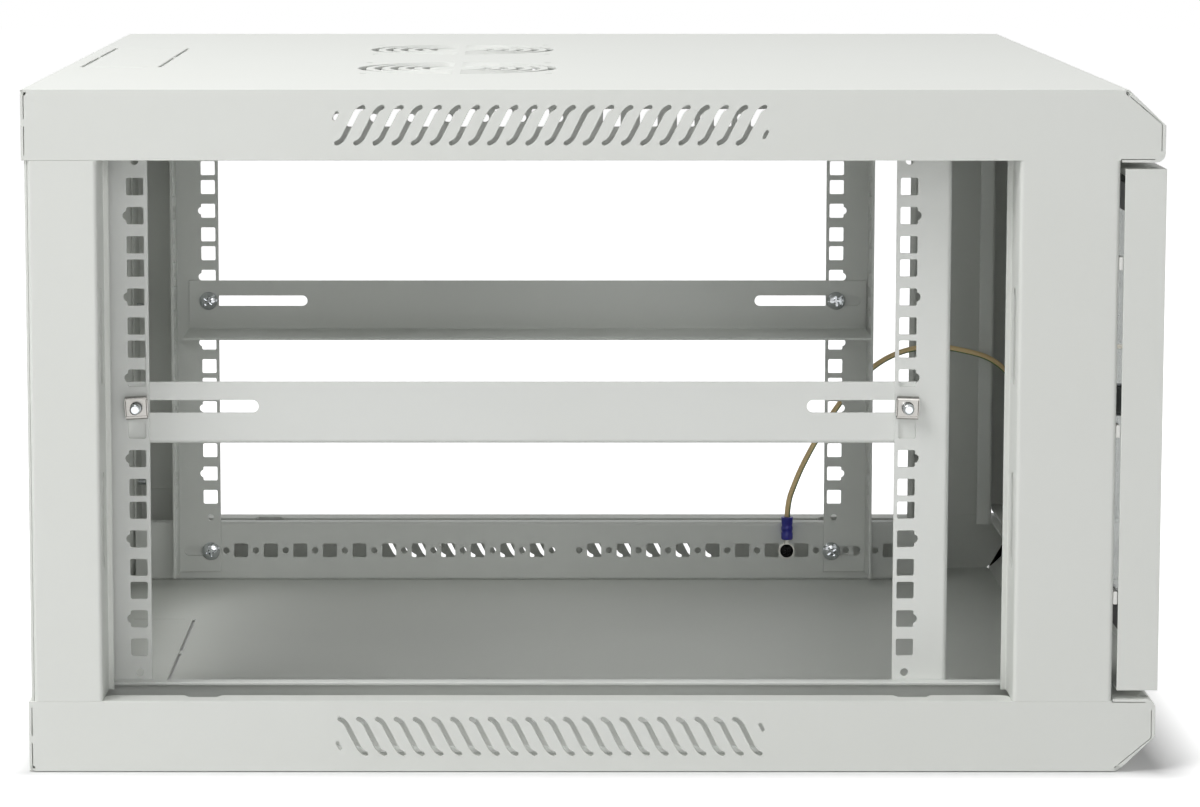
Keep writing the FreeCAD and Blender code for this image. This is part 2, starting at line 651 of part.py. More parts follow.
def folded_box(name, low, high, upwards):
    """Sheet box, open towards the middle of the cabinet, with its front edge sloped."""
    block = box(name + "_block", ("-half_width", "half_width"), ("cover_face", "rear_face"), (low, high))
    hollow_z = (low + " - 1", high + " - skin") if upwards else (low + " + skin", high + " + 1")
    hollow = box(name + "_hollow", ("-inner_half", "inner_half"),
                 ("cover_face + skin", "rear_face - skin"), hollow_z)
    turn = 1 if upwards else -1
    outer_edge = high if upwards else low
    inner_edge = "roof_under" if upwards else "skin"
    outer = slope(name + "_slope", "half_width + 1", "crease_run", "crease_rise",
                  "cover_face", outer_edge, turn)
    inner = slope(name + "_inner_slope", "half_width + 1", "inner_run", "inner_rise",
                  "cover_face + skin", inner_edge, turn)
    outside = cut(name + "_outside", block, [outer])
    inside = cut(name + "_inside", hollow, [inner])
    return cut(name + "_shell", outside, [inside])


def slope(name, half, run, rise, front, level, turn):
    """Three-sided block along X that takes off a front edge, at the top (1) or the bottom (-1)."""
    piece = DOC.addObject("Part::Wedge", name)
    rules = {"Xmin": "0", "X2min": "0", "Xmax": rise, "X2max": "0",
             "Ymin": "0", "Ymax": run, "Zmin": "0", "Zmax": "2 * (%s)" % half, "Z2min": "0",
             "Z2max": "2 * (%s)" % half}
    for side, rule in rules.items():
        piece.setExpression(side, bind(rule))
    across = FreeCAD.Vector(0, 0, -turn)
    along = FreeCAD.Vector(0, 1, 0)
    piece.Placement.Rotation = FreeCAD.Rotation(across, along, across.cross(along), "XYZ")
    start = "-(%s)" % half if across.cross(along).x > 0 else half
    return lay(piece, start, front, level)


def relief_holes(name, level):
    """Small round holes where the folded corners meet."""
    return [rod("%s_%s_%s" % (name, place, side), "x", x, y, level, "relief_radius", "skin + 1")
            for place, y in (("front", "cover_face + crease_run"), ("rear", "rear_face - skin"))
            for side, x in (("left", "-half_width - 1"), ("right", "inner_half"))]


def pin_holes(name, level, span):
    return [rod("%s_%s" % (name, side), "z", x, "hinge_y", level, "pin_bore", span)
            for side, x in (("left", "-hinge_x"), ("right", "hinge_x"))]


def inwards(level, near, far, turn):
    """Heights between two distances from a lip's face into its box: the tray (1) or the cover (-1)."""
    if turn > 0:
        return ("%s - (%s)" % (level, far), "%s - (%s)" % (level, near))
    return ("%s + (%s)" % (level, near), "%s + (%s)" % (level, far))


def bend_corner(name, half, front, radius, level, near, turn):
    """What lies outside a round bend along X, in the corner between the front wall and its lip."""
    block = box(name + "_corner", ("-(%s)" % half, half), (front, "cover_face + lip_bend"),
                inwards(level, near, "lip_bend", turn))
    middle = "%s %s lip_bend" % (level, "-" if turn > 0 else "+")
    bend = rod(name + "_bend", "x", "-(%s)" % half, "cover_face + lip_bend", middle, radius,
               "2 * (%s)" % half)
    return cut(name, block, [bend])


def front_lip(name, level, turn):
    """The lip under or over the door, with the inside of its bend."""
    sheet = box(name, ("-inner_half", "inner_half"), ("cover_face + skin", "cover_face + front_lip"),
                inwards(level, "0", "skin", turn))
    return [sheet, bend_corner(name + "_fillet", "inner_half", "cover_face + skin", "lip_bend - skin",
                               level, "skin", turn)]


# Where cutters go through the left and the right skirt.
SKIRTS = (("left", ("-half_width - 1", "-inner_half + 1")), ("right", ("inner_half - 1", "half_width + 1")))


def front_edge(name, level, turn):
    """Cutters that step the skirts down behind the lip and open the seam under it on both sides."""
    lip_end = "cover_face + front_lip"
    cutters = [
        bend_corner(name + "_round", "half_width + 1", "cover_face - 1", "lip_bend", level, "-1", turn),
        box(name + "_step", ("-half_width - 1", "half_width + 1"), (lip_end, "rear_face + 1"),
            inwards(level, "-1", "lip_rise", turn))]
    for side, x in SKIRTS:
        cutters.append(box("%s_seam_%s" % (name, side), x,
                           ("cover_face + lip_seam_start", lip_end + " + lip_slit"),
                           inwards(level, "skin", "skin + lip_seam", turn)))
        cutters.append(box("%s_slit_%s" % (name, side), x, (lip_end, lip_end + " + lip_slit"),
                           inwards(level, "0", "skin + lip_seam", turn)))
    return cutters


def rear_seams(name, level, turn):
    """Open seams between the skirts and the rear wall, with a weld halfway up."""
    cutters = []
    spans = (("near", ("rear_seam_start", "rear_weld_start")), ("far", ("rear_weld_end", "rear_seam_end")))
    for place, span in spans:
        for side, x in SKIRTS:
            cutters.append(box("%s_%s_%s" % (name, place, side), x,
                               ("rear_face - skin - rear_seam", "rear_face - skin"),
                               inwards(level, *span, turn)))
    return cutters


lip_level = size("opening_high")
cover_lips = [skirt_lip("cover_lip_left", lip_level, lip_level + size("skin"))]
cover_lips.append(mirror("cover_lip_right", cover_lips[0], "x"))
cover_sheet = joined("cover_sheet", [folded_box("cover", "cover_lip", "overall_height", True)]
                     + front_lip("cover_front_lip", "cover_lip", -1) + cover_lips)
node("top_cover", cut("top_cover", cover_sheet, [
    vent_field("cover_vents", (size("opening_high") + size("overall_height")) / 2, -1),
    fan_grilles("cover_grilles"),
    knockout("cover_knockout", size("roof_under") - 1, size("overall_height") + 1),
    seam("cover_seam", size("overall_height"), True)]
    + front_edge("cover_edge", "cover_lip", -1)
    + rear_seams("cover_rear_seam", "overall_height", 1)
    + relief_holes("cover_relief", "overall_height - skin")
    + pin_holes("cover_pin_hole", "cover_lip - 1", "lip_bend")))

tray_lip_level = size("opening_low") - size("skin")
tray_lips = [skirt_lip("tray_lip_left", tray_lip_level, size("opening_low"))]
tray_lips.append(mirror("tray_lip_right", tray_lips[0], "x"))
tray_sheet = joined("tray_sheet", [folded_box("tray", "0", "tray_lip", False)]
                    + front_lip("tray_front_lip", "tray_lip", 1) + tray_lips)
node("bottom_tray", cut("bottom_tray", tray_sheet, [
    vent_field("tray_vents", size("opening_low") / 2, 1),
    knockout("tray_knockout", -1, size("skin") + 1),
    seam("tray_seam", 0, False)]
    + front_edge("tray_edge", "tray_lip", 1)
    + rear_seams("tray_rear_seam", "0", -1)
    + relief_holes("tray_relief", "skin")
    + pin_holes("tray_pin_hole", "tray_lip + 1 - lip_bend", "lip_bend")))


# Posts: folded strips between the tray and the cover, with tabs welded inside the skirts.

def post_slots(y):
    width = size("post_slot_width")
    x = -size("half_width") + size("post_return") / 2
    cutters = []
    for low in (size("post_slot_low"), size("post_slot_high")):
        high = low + size("post_slot_length")
        points = rectangle((x - width / 2, low), (x + width / 2, high), width / 2 - 1e-4)
        cutters.append(prism(points, "xz", y - 2, y + size("skin") + 2))
    return cutters


def post(name, points, side, tab_y, slot_y, screws=()):
    body = feature(name + "_fold", strip(points, size("skin"), "xy", size("opening_low"),
                                         size("opening_high"), side))
    tabs = [box("%s_tab_%s" % (name, end), ("-inner_half", "-inner_half + skin"), tab_y,
                ("%s - tab_length" % level, "%s + tab_length" % level))
            for end, level in (("low", "opening_low"), ("high", "opening_high"))]
    whole = joined(name + "_whole", [body] + tabs)
    holes = feature(name + "_holes", Part.makeCompound(post_slots(slot_y) + list(screws)))
    return cut(name + "_cut", whole, [holes])


inside = -size("inner_half")
return_end = -size("half_width") + size("post_return")
rear_fold = [
    (return_end, size("rear_post_front") - size("post_hem")),
    (return_end, size("rear_post_front") + size("skin")),
    (inside, size("rear_post_front") + size("skin")),
    (inside, size("panel_front") - size("skin")),
    (-size("half_width") + size("post_rear_flange"), size("panel_front") - size("skin")),
]
panel_middle = size("middle_z")
panel_screw_x = size("half_width") - size("panel_screw_inset")
panel_screw_heights = [panel_middle + step * size("panel_screw_step") for step in (-1, 0, 1)]
post_screw_holes = [drill("xz", -panel_screw_x, z, size("panel_screw_radius"), size("panel_front") - 3,
                          size("panel_front") + 1) for z in panel_screw_heights]
rear_post = post("rear_post", rear_fold, 1, ("rear_post_front + skin", "rear_post_front + skin + tab_depth"),
                 size("rear_post_front"), post_screw_holes)
node("rear_left_post", rear_post)
node("rear_right_post", mirror("rear_post_mirror", rear_post, "x"))

flange_edge = -size("front_opening") - size("skin")
front_fold = [
    (return_end, size("front_post_rear") + size("post_hem")),
    (return_end, size("front_post_rear") - size("skin")),
    (inside, size("front_post_rear") - size("skin")),
    (inside, size("post_face") + size("skin")),
    (flange_edge, size("post_face") + size("skin")),
    (flange_edge, size("post_face") + size("post_front_lip")),
]
front_post = post("front_post", front_fold, -1,
                  ("front_post_rear - skin - front_tab_depth", "front_post_rear - skin"),
                  size("front_post_rear") - size("skin"))
strike = box("strike_notch", ("-front_opening - skin - 1", "-front_opening + 1"),
             ("post_face + post_front_lip - strike_depth", "post_face + post_front_lip + 1"),
             ("strike_low", "strike_low + strike_height"))
node("front_left_post", cut("front_left_post", front_post, [strike]))
node("front_right_post", mirror("front_post_mirror", front_post, "x"))


# Struts: channels along the sides of the floor and the roof, with a row of holes.

def strut(name, foot_z, rim_z, row, upwards):
    outer = -size("strut_outer")
    sheet = size("skin")
    step = -sheet if upwards else sheet
    points = [(-size("rail_outer") - size("strut_foot"), foot_z + step), (outer, foot_z + step),
              (outer, rim_z - step), (-size("rail_outer") - size("strut_rim"), rim_z - step)]
    start, end = size("strut_front_end"), size("panel_front") - sheet
    fold = strip(points, sheet, "xz", start, end, 1 if upwards else -1)
    middle = size("strut_pattern_middle")
    cutters = []
    for index in range(int(size("strut_pairs"))):
        for sign in (-1, 1):
            far = index * size("strut_pitch")
            cutters.append(square("yz", middle + sign * (size("strut_first_square") + far), row, outer - 2,
                                  -size("rail_outer") + 2))
            cutters.append(drill("yz", middle + sign * (size("strut_first_round") + far), row,
                                 size("round_hole"), outer - 2, -size("rail_outer") + 2))
    return cut(name, feature(name + "_fold", fold), [feature(name + "_holes", Part.makeCompound(cutters))])


low_strut = node("bottom_left_strut", strut("low_strut", size("skin"), size("strut_low_rim"),
                                            size("strut_row_low"), False))
node("bottom_right_strut", mirror("low_strut_mirror", low_strut, "x"))
high_strut = node("top_left_strut", strut("high_strut", size("roof_under"), size("strut_high_rim"),
                                          size("strut_row_high"), True))
node("top_right_strut", mirror("high_strut_mirror", high_strut, "x"))


# Rails: upright angles with the rack's square holes in both legs.

def rack_heights():
    base, unit, step = size("rack_base") + size("hole_low"), size("rack_unit"), size("hole_step")
    return [(base + unit * index + step * place, place == 1)
            for index in range(int(size("rack_units"))) for place in range(3)]


def rail_holes():
    column, face = size("rail_front_column"), -size("rail_column") / 2
    side = (-size("rail_outer") - 2, -size("rail_inner") + 2)
    front = (size("rail_front_face") - 2, size("rail_front_face") + size("rail_sheet") + 2)
    half = size("square_hole") / 2
    notch = size("key_notch_radius")
    beyond = half + size("key_notch") - notch
    cutters = []
    for z, keyed in rack_heights():
        squares = [square("yz", column, z, *side), square("xz", face, z, *front)]
        if keyed:
            squares[0] = squares[0].fuse(drill("yz", column - beyond, z, notch, *side))
            squares[1] = squares[1].fuse(drill("xz", face - beyond, z, notch, *front))
        cutters += squares
    inset = size("rail_round_inset")
    for z in (size("rack_base") - inset, size("rack_top") + inset):
        cutters.append(drill("yz", column, z, size("round_hole"), *side))
    length = size("foot_slot_length")
    middle = size("front_foot_y") + size("foot_slot_height") / 2 - length / 2 + 1
    for z in (size("strut_row_low"), size("strut_row_high")):
        cutters.append(slot("yz", (middle, z), length, size("foot_slot_height"), *side))
    return cutters


rail_line = [
    (-size("rail_outer") + size("rail_face"), size("rail_front_face")),
    (-size("rail_outer"), size("rail_front_face")),
    (-size("rail_outer"), size("rail_free_edge")),
]
rail_fold = feature("rail_fold", strip(rail_line, size("rail_sheet"), "xy", size("rail_low"),
                                       size("rail_high"), -1))
rail = cut("rail", rail_fold, [feature("rail_holes", Part.makeCompound(rail_holes()))])
node("front_left_rail", rail)
node("front_right_rail", mirror("front_rail_mirror", rail, "x"))
rear_rail = node("rear_left_rail", mirror("rear_rail", rail, "y", "rail_mirror"))
node("rear_right_rail", mirror("rear_rail_mirror", rear_rail, "x"))


# Side brackets: shelves between the front and rear rails, screwed through long slots.

bracket_line = [
    (-size("rail_inner"), size("bracket_shelf_z") + size("bracket_height")),
    (-size("rail_inner"), size("bracket_shelf_z")),
    (-size("rail_inner") + size("bracket_shelf"), size("bracket_shelf_z")),
]
bracket_fold = feature("bracket_fold", strip(bracket_line, size("bracket_sheet"), "xz",
                                             size("bracket_front"), size("bracket_rear"), 1))


def bracket_slots():
    length, height = size("bracket_slot_length"), size("bracket_slot_height")
    past_front = size("bracket_slot_front") + height / 2
    past_rear = size("bracket_slot_rear") + height / 2
    side = (-size("rail_inner") - 2, -size("bracket_face") + 2)
    z = size("bracket_hole_z")
    front = size("rail_front_column") - past_front + length / 2
    rear = size("rail_rear_column") + past_rear - length / 2
    return [slot("yz", (y, z), length, height, *side) for y in (front, rear)]


bracket = cut("bracket", bracket_fold, [feature("bracket_slots", Part.makeCompound(bracket_slots()))])
node("left_side_bracket", bracket)
node("right_side_bracket", mirror("bracket_mirror", bracket, "x"))


# Screws and cage nuts of the rails and the brackets. Each one is made pointing to -X.

def pan_screw(x, y, z, length):
    head = size("screw_head_height")
    turned = drill("yz", y, z, size("screw_head_radius"), x, x + head)
    crown = [edge for edge in turned.Edges if abs(edge.CenterOfMass.x - x - head) < 1e-6]
    turned = turned.makeFillet(head * 0.6, crown)
    shank = drill("yz", y, z, size("screw_radius"), x - length, x)
    long, wide, deep = size("recess_length") / 2, size("recess_width") / 2, size("recess_depth")
    cross = [prism(rectangle((y - a, z - b), (y + a, z + b)), "yz", x + head - deep, x + head + 1)
             for a, b in ((long, wide), (wide, long))]
    return turned.fuse(shank).cut(Part.makeCompound(cross)).removeSplitter()


def cage_nut(x, y, z, reach):
    """Nut block behind the sheet, with a boss that fills the sheet's square hole."""
    half, boss = size("nut_side") / 2, size("nut_boss") / 2
    block = prism(rectangle((y - half, z - half), (y + half, z + half), 1), "yz", x - size("nut_depth"), x)
    spigot = prism(rectangle((y - boss, z - boss), (y + boss, z + boss)), "yz", x, x + reach)
    bore = drill("yz", y, z, size("nut_bore"), x - size("nut_depth") - 1, x + reach + 1)
    return block.fuse(spigot).cut(bore).removeSplitter()


def fasteners(label, make, places):
    """One solid for each place, mirrored to the other side of the cabinet."""
    left = [feature("%s_%d" % (label, index), make(*place)) for index, place in enumerate(places)]
    right = [mirror("%s_mirror_%d" % (label, index), piece, "x") for index, piece in enumerate(left)]
    node(label, group(label, left + right))


columns = (size("rail_front_column"), size("rail_rear_column"))
fasteners("bracket_screws", pan_screw,
          [(-size("bracket_face"), y, size("bracket_hole_z"), size("screw_length")) for y in columns])
fasteners("bracket_cage_nuts", cage_nut,
          [(-size("rail_outer"), y, size("bracket_hole_z"), size("rail_sheet")) for y in columns])
feet = [(y, z) for y in (size("front_foot_y"), size("rear_foot_y"))
        for z in (size("strut_row_low"), size("strut_row_high"))]
fasteners("rail_screws", pan_screw, [(-size("rail_inner"), y, z, size("screw_length")) for y, z in feet])
fasteners("rail_cage_nuts", cage_nut, [(-size("strut_outer"), y, z, size("skin")) for y, z in feet])


# Rear panel: a flat sheet behind the rear posts, with wall holes and a cable entry.

panel_sheet = box("panel_sheet", ("-inner_half", "inner_half"), ("panel_front", "panel_back"),
                  ("bottom_skirt - panel_overlap", "opening_high + panel_overlap"))
wall_holes = [drill("xz", sx * size("wall_hole_across") / 2, panel_middle + sz * size("wall_hole_up") / 2,
                    size("wall_hole_radius"), size("panel_front") - 2, size("panel_back") + 2)
              for sx in (-1, 1) for sz in (-1, 1)]
entry_low = (-size("entry_width") / 2, size("entry_bottom"))
entry_high = (size("entry_width") / 2, size("entry_bottom") + size("entry_height"))
entry = prism(rectangle(entry_low, entry_high, size("entry_corner")), "xz",
              size("panel_front") - 2, size("panel_back") + 2)
screw_spots = [(sx * panel_screw_x, z) for sx in (-1, 1) for z in panel_screw_heights]
screw_clearance = [drill("xz", x, z, size("panel_screw_radius"), size("panel_front") - 2,
                         size("panel_back") + 2) for x, z in screw_spots]
node("rear_panel", cut("rear_panel", panel_sheet, [
    feature("panel_holes", Part.makeCompound(wall_holes + [entry] + screw_clearance))]))

wall, reach = size("trim_wall"), size("trim_reach")
trim_front, trim_back = size("panel_front") - wall, size("panel_back") + size("trim_rear")
round_corner = size("entry_corner")


def entry_block(grow, start, end):
    """The cable entry's outline, grown or shrunk, as a block along Y."""
    low = (entry_low[0] - grow, entry_low[1] - grow)
    high = (entry_high[0] + grow, entry_high[1] + grow)
    return prism(rectangle(low, high, round_corner + grow), "xz", start, end)


groove = entry_block(2 * reach, size("panel_front"), size("panel_back")).cut(
    entry_block(0, size("panel_front"), size("panel_back")))
trim = entry_block(reach, trim_front, trim_back).cut(entry_block(-wall, trim_front - 1, trim_back + 1))
node("cable_entry_trim", feature("cable_entry_trim", trim.cut(groove)))


def panel_screw(x, z):
    back = size("panel_back")
    head = drill("xz", x, z, size("panel_screw_head"), back, back + size("panel_screw_height"))
    shank = drill("xz", x, z, size("panel_screw_radius"), back - size("panel_screw_length"), back)
    return head.fuse(shank)


node("rear_panel_screws", group("rear_panel_screws", [
    feature("panel_screw_%d" % index, panel_screw(x, z)) for index, (x, z) in enumerate(screw_spots)]))


# Door: a folded steel frame around glass, on two hinge pins at its right edge.

door_block = box("door_block", ("-door_half", "door_half"), ("door_face", "door_back"),
                 ("door_low", "door_high"))
door_hollow = box("door_hollow", ("-door_half + skin", "door_half - skin"),
                  ("door_face + skin", "door_back + 1"), ("door_low + skin", "door_high - skin"))
window = box("window", ("-window_half", "window_half"), ("door_face - 1", "door_face + skin + 1"),
             ("window_low", "window_high"))
door_shell = cut("door_shell", door_block, [door_hollow])
door_pin_holes = [rod("door_pin_hole_%s" % side, "z", x, "hinge_y", "door_low - 1", "pin_bore",
                      "door_high - door_low + 2")
                  for side, x in (("left", "-hinge_x"), ("right", "hinge_x"))]
door_pin_holes += [rod("door_spare_hole_%s" % side, "z", x, "hinge_y", "door_low - 1", "round_hole",
                       "door_high - door_low + 2")
                   for side, x in (("left", "-hinge_x + spare_hole"), ("right", "hinge_x - spare_hole"))]
lock_hole = rod("lock_hole", "y", "lock_x", "door_face - 1", "lock_z", "lock_flange_radius", "skin + 2")
node("door_frame", cut("door_frame", door_shell, [window, lock_hole] + door_pin_holes))

node("door_glass", box("door_glass", ("-glass_half", "glass_half"), ("glass_front", "glass_back"),
                       ("window_low - glass_overlap", "window_high + glass_overlap")))
seal_outer = box("seal_outer", ("-glass_half - seal_wall", "glass_half + seal_wall"),
                 ("glass_front", "glass_back + seal_wall"),
                 ("window_low - glass_overlap - seal_wall", "window_high + glass_overlap + seal_wall"))
seal_room = box("seal_room", ("-glass_half", "glass_half"), ("glass_front - 1", "glass_back"),
                ("window_low - glass_overlap", "window_high + glass_overlap"))
seal_mouth = box("seal_mouth", ("-window_half", "window_half"),
                 ("glass_front - 1", "glass_back + seal_wall + 1"), ("window_low", "window_high"))
node("glass_seal", cut("glass_seal", seal_outer, [seal_room, seal_mouth]))

node("upper_hinge_pin", joined("upper_hinge_pin", [
    rod("upper_pin", "z", "hinge_x", "hinge_y", "door_high - skin - upper_collar", "pin_radius",
        "pin_high - door_high + skin + upper_collar"),
    rod("upper_pin_collar", "z", "hinge_x", "hinge_y", "door_high - skin - upper_collar", "pin_collar",
        "upper_collar")]))

# The sprung pin slides in a guide screwed to the door's edge and drops into the tray's lip.
ear_x = ("hinge_x - pin_collar", "door_half - skin")
ear_y = ("hinge_y - pin_collar", "hinge_y + pin_collar")
guide_back = box("guide_back", ("door_half - skin - guide_sheet", "door_half - skin"), ear_y,
                 ("guide_low + guide_foot", "guide_high + guide_sheet"))
guide_ear = box("guide_ear", ear_x, ear_y, ("guide_high", "guide_high + guide_sheet"))
guide_bore = rod("guide_bore", "z", "hinge_x", "hinge_y", "guide_high - 1", "pin_bore", "guide_sheet + 2")
node("pin_guide", cut("pin_guide", joined("pin_guide_fold", [guide_back, guide_ear]), [guide_bore]))

pin_top = "guide_high + guide_sheet + pin_travel / 2"
node("lower_hinge_pin", joined("lower_hinge_pin", [
    rod("lower_pin", "z", "hinge_x", "hinge_y", "pin_low", "pin_radius", "%s - pin_low" % pin_top),
    rod("lower_collar", "z", "hinge_x", "hinge_y", "collar_low", "pin_collar", "pin_collar_height"),
    rod("finger_bar", "x", "hinge_x - finger_length", "hinge_y", pin_top, "pin_radius / 2",
        "finger_length")]))


def coil_spring():
    low = size("collar_high") + size("spring_wire") + 0.05
    high = size("guide_high") - size("spring_wire") - 0.05
    helix = Part.makeHelix((high - low) / size("spring_turns"), high - low, size("spring_radius"))
    section = Part.Wire([Part.makeCircle(size("spring_wire"), FreeCAD.Vector(size("spring_radius"), 0, 0),
                                         FreeCAD.Vector(0, 1, 0))])
    coil = Part.Wire(helix).makePipeShell([section], True, True)
    return coil


spring = feature("hinge_spring", coil_spring())
node("hinge_spring", lay(spring, "hinge_x", "hinge_y", "collar_high + spring_wire + 0.05"))


# Lock: housing and nut on the door, with a plug that turns the cam.

lock_face = rod("lock_face", "y", "lock_x", "door_face", "lock_z", "lock_flange_radius", "skin")
lock_body = rod("lock_body", "y", "lock_x", "door_face", "lock_z", "lock_body_radius", "lock_length")
lock_bore = rod("lock_bore", "y", "lock_x", "door_face - 1", "lock_z", "plug_radius + plug_clear",
                "lock_length + 2")
node("lock_housing", cut("lock_housing", joined("lock_solid", [lock_face, lock_body]), [lock_bore]))

lock_nut = rod("lock_nut_block", "y", "lock_x", "door_face + skin", "lock_z", "lock_nut_radius",
               "lock_nut_height")
lock_thread = rod("lock_thread", "y", "lock_x", "door_face", "lock_z", "lock_body_radius", "lock_length")
node("lock_nut", cut("lock_nut", lock_nut, [lock_thread]))

plug = rod("plug_core", "y", "lock_x", "door_face", "lock_z", "plug_radius", "cam_front - door_face")
plug_tail = rod("plug_tail", "y", "lock_x", "cam_front", "lock_z", "plug_tail", "cam_sheet")
key_way = box("key_way", ("lock_x - key_width / 2", "lock_x + key_width / 2"),
              ("door_face - 1", "door_face + key_depth"),
              ("lock_z - key_height / 2", "lock_z + key_height / 2"))
node("lock_plug", cut("lock_plug", joined("plug_solid", [plug, plug_tail]), [key_way]))

cam_plate = box("cam_plate", ("lock_x - cam_width / 2", "lock_x + cam_width / 2"), ("cam_front", "cam_back"),
                ("lock_z - cam_reach", "lock_z"))
cam_hub = rod("cam_hub", "y", "lock_x", "cam_front", "lock_z", "cam_width / 2", "cam_sheet")
cam_hole = rod("cam_hole", "y", "lock_x", "cam_front - 1", "lock_z", "plug_tail", "cam_sheet + 2")
node("lock_cam", cut("lock_cam", joined("cam_solid", [cam_plate, cam_hub]), [cam_hole]))
node("cam_screw", rod("cam_screw", "y", "lock_x", "cam_back", "lock_z", "cam_screw_radius",
                      "cam_screw_height"))


# Nylon bumpers on the left front post, just clear of the closed door.

bumpers = [box("bumper_%d" % index,
               ("-half_width + bumper_inset", "-half_width + bumper_inset + bumper_width"),
               ("door_back + bumper_play", "post_face"),
               ("bumper_z + %d * bumper_step - bumper_height / 2" % step,
                "bumper_z + %d * bumper_step + bumper_height / 2" % step))
           for index, step in enumerate((-1, 0, 1))]
node("door_bumpers", group("door_bumpers", bumpers))


# Earth bond: a wire from the lower right strut, around the rail, to the door's stud.

bolt_head = rod("bolt_head", "x", "rail_outer - terminal_sheet - bolt_head_height", "bolt_y",
                "strut_row_low", "bolt_head_radius", "bolt_head_height")
bolt_shank = rod("bolt_shank", "x", "rail_outer - terminal_sheet", "bolt_y", "strut_row_low",
                 "round_hole", "terminal_sheet + skin + bolt_past_strut")
node("earth_bolt", joined("earth_bolt", [bolt_head, bolt_shank]))


def sleeve_pair(name, x, y, z, ring, neck, eye):
    """A ring terminal with its barrel, and the sleeve around the barrel, along Z."""
    barrel = rod(name + "_barrel", "z", x, y, z, "barrel_radius", "sleeve_length - sleeve_cap")
    solid = joined(name + "_terminal_solid", [ring, neck, barrel])
    node(name + "_terminal", cut(name + "_terminal", solid, [eye]))
    block = rod(name + "_sleeve_block", "z", x, y, z, "sleeve_radius", "sleeve_length")
    node(name + "_sleeve", cut(name + "_sleeve", block, [barrel, neck]))


sleeve_pair(
    "cabinet", "cabinet_sleeve_x", "bolt_y", "cabinet_sleeve_z",
    rod("cabinet_ring", "x", "rail_outer - terminal_sheet", "bolt_y", "strut_row_low", "terminal_radius",
        "terminal_sheet"),
    box("cabinet_neck_strip", ("cabinet_sleeve_x", "rail_outer"),
        ("bolt_y - neck_width / 2", "bolt_y + neck_width / 2"),
        ("strut_row_low + neck_start", "cabinet_sleeve_z + neck_lap")),
    rod("cabinet_eye", "x", "rail_outer - terminal_sheet - 1", "bolt_y", "strut_row_low", "round_hole",
        "terminal_sheet + 2"))

stud = rod("stud", "y", "stud_x", "glass_front", "stud_z", "stud_radius", "stud_length")
stud_nut = rod("stud_nut", "y", "stud_x", "door_ring_y + terminal_sheet", "stud_z", "stud_nut_radius",
               "stud_nut_height")
node("earth_stud", joined("earth_stud", [stud, stud_nut]))
sleeve_pair(
    "door", "stud_x", "door_sleeve_y", "door_sleeve_z",
    rod("door_ring", "y", "stud_x", "door_ring_y", "stud_z", "terminal_radius", "terminal_sheet"),
    box("door_neck_strip", ("stud_x - neck_width / 2", "stud_x + neck_width / 2"),
        ("door_ring_y", "door_ring_y + terminal_sheet"),
        ("stud_z + neck_start", "door_sleeve_z + neck_lap")),
    rod("door_eye", "y", "stud_x", "door_ring_y - 1", "stud_z", "stud_radius", "terminal_sheet + 2"))
DOC.recompute()

# The wire's route, from the lower sleeve to the door's sleeve, as points chosen by hand.
WIRE_ROUTE = [
    (248.9, -140.25, 45.3),
    (248.9, -140.75, 55.5),
    (249.8, -144.5, 66),
    (251.8, -150, 79),
    (255.8, -160, 97),
    (260.8, -173.5, 118),
    (262.5, -190, 139),
    (260, -211, 155),
    (254.5, -237, 161.5),
    (251.2, -261, 157.5),
    (251.6, -276, 153),
    (253.9, -288.5, 143),
    (255, -294, 131),
    (255, -294, 120.5),
]


def wire_tube(route, radius):
    """Straight runs joined by tangent arcs, each as large as its two runs allow."""
    points = [FreeCAD.Vector(*point) for point in route]
    edges = []
    last = points[0]
    for index in range(1, len(points) - 1):
        here = points[index]
        back = points[index - 1] - here
        ahead = points[index + 1] - here
        shorter = min(back.Length, ahead.Length)
        angle = math.pi - back.getAngle(ahead)
        reach = 0.45 * shorter
        bend = reach / math.tan(angle / 2)
        back.normalize()
        ahead.normalize()
        middle = (back + ahead).normalize()
        enter, leave = here + back * reach, here + ahead * reach
        crown = here + middle * (math.hypot(bend, reach) - bend)
        print("wire bend radius %.1f" % bend)
        edges += [Part.LineSegment(last, enter).toShape(), Part.Arc(enter, crown, leave).toShape()]
        last = leave
    edges.append(Part.LineSegment(last, points[-1]).toShape())
    path = Part.Wire(edges)
    section = Part.Wire([Part.makeCircle(radius, points[0], points[1] - points[0])])
    tube = path.makePipeShell([section], True, False)
    print("wire length %.1f, volume ratio %.4f" % (
        path.Length, tube.Volume / (math.pi * radius ** 2 * path.Length)))
    return tube


node("earth_wire", feature("earth_wire", wire_tube(WIRE_ROUTE, size("wire_radius"))))

DOC.recompute()
for piece in DOC.Objects:
    if "Invalid" in piece.State or "Error" in piece.State:
        raise RuntimeError("%s failed: %s" % (piece.Name, piece.State))
for piece in NODES:
    if piece.Shape.isNull() or not piece.Shape.isValid() or not piece.Shape.Solids:
        raise RuntimeError("%s has no valid solid" % piece.Label)

os.makedirs("parts", exist_ok=True)
for piece in NODES:
    piece.Shape.exportStep("parts/%s.step" % piece.Label)
    print("%s: %d solids, volume %.0f" % (piece.Label, len(piece.Shape.Solids), piece.Shape.Volume))
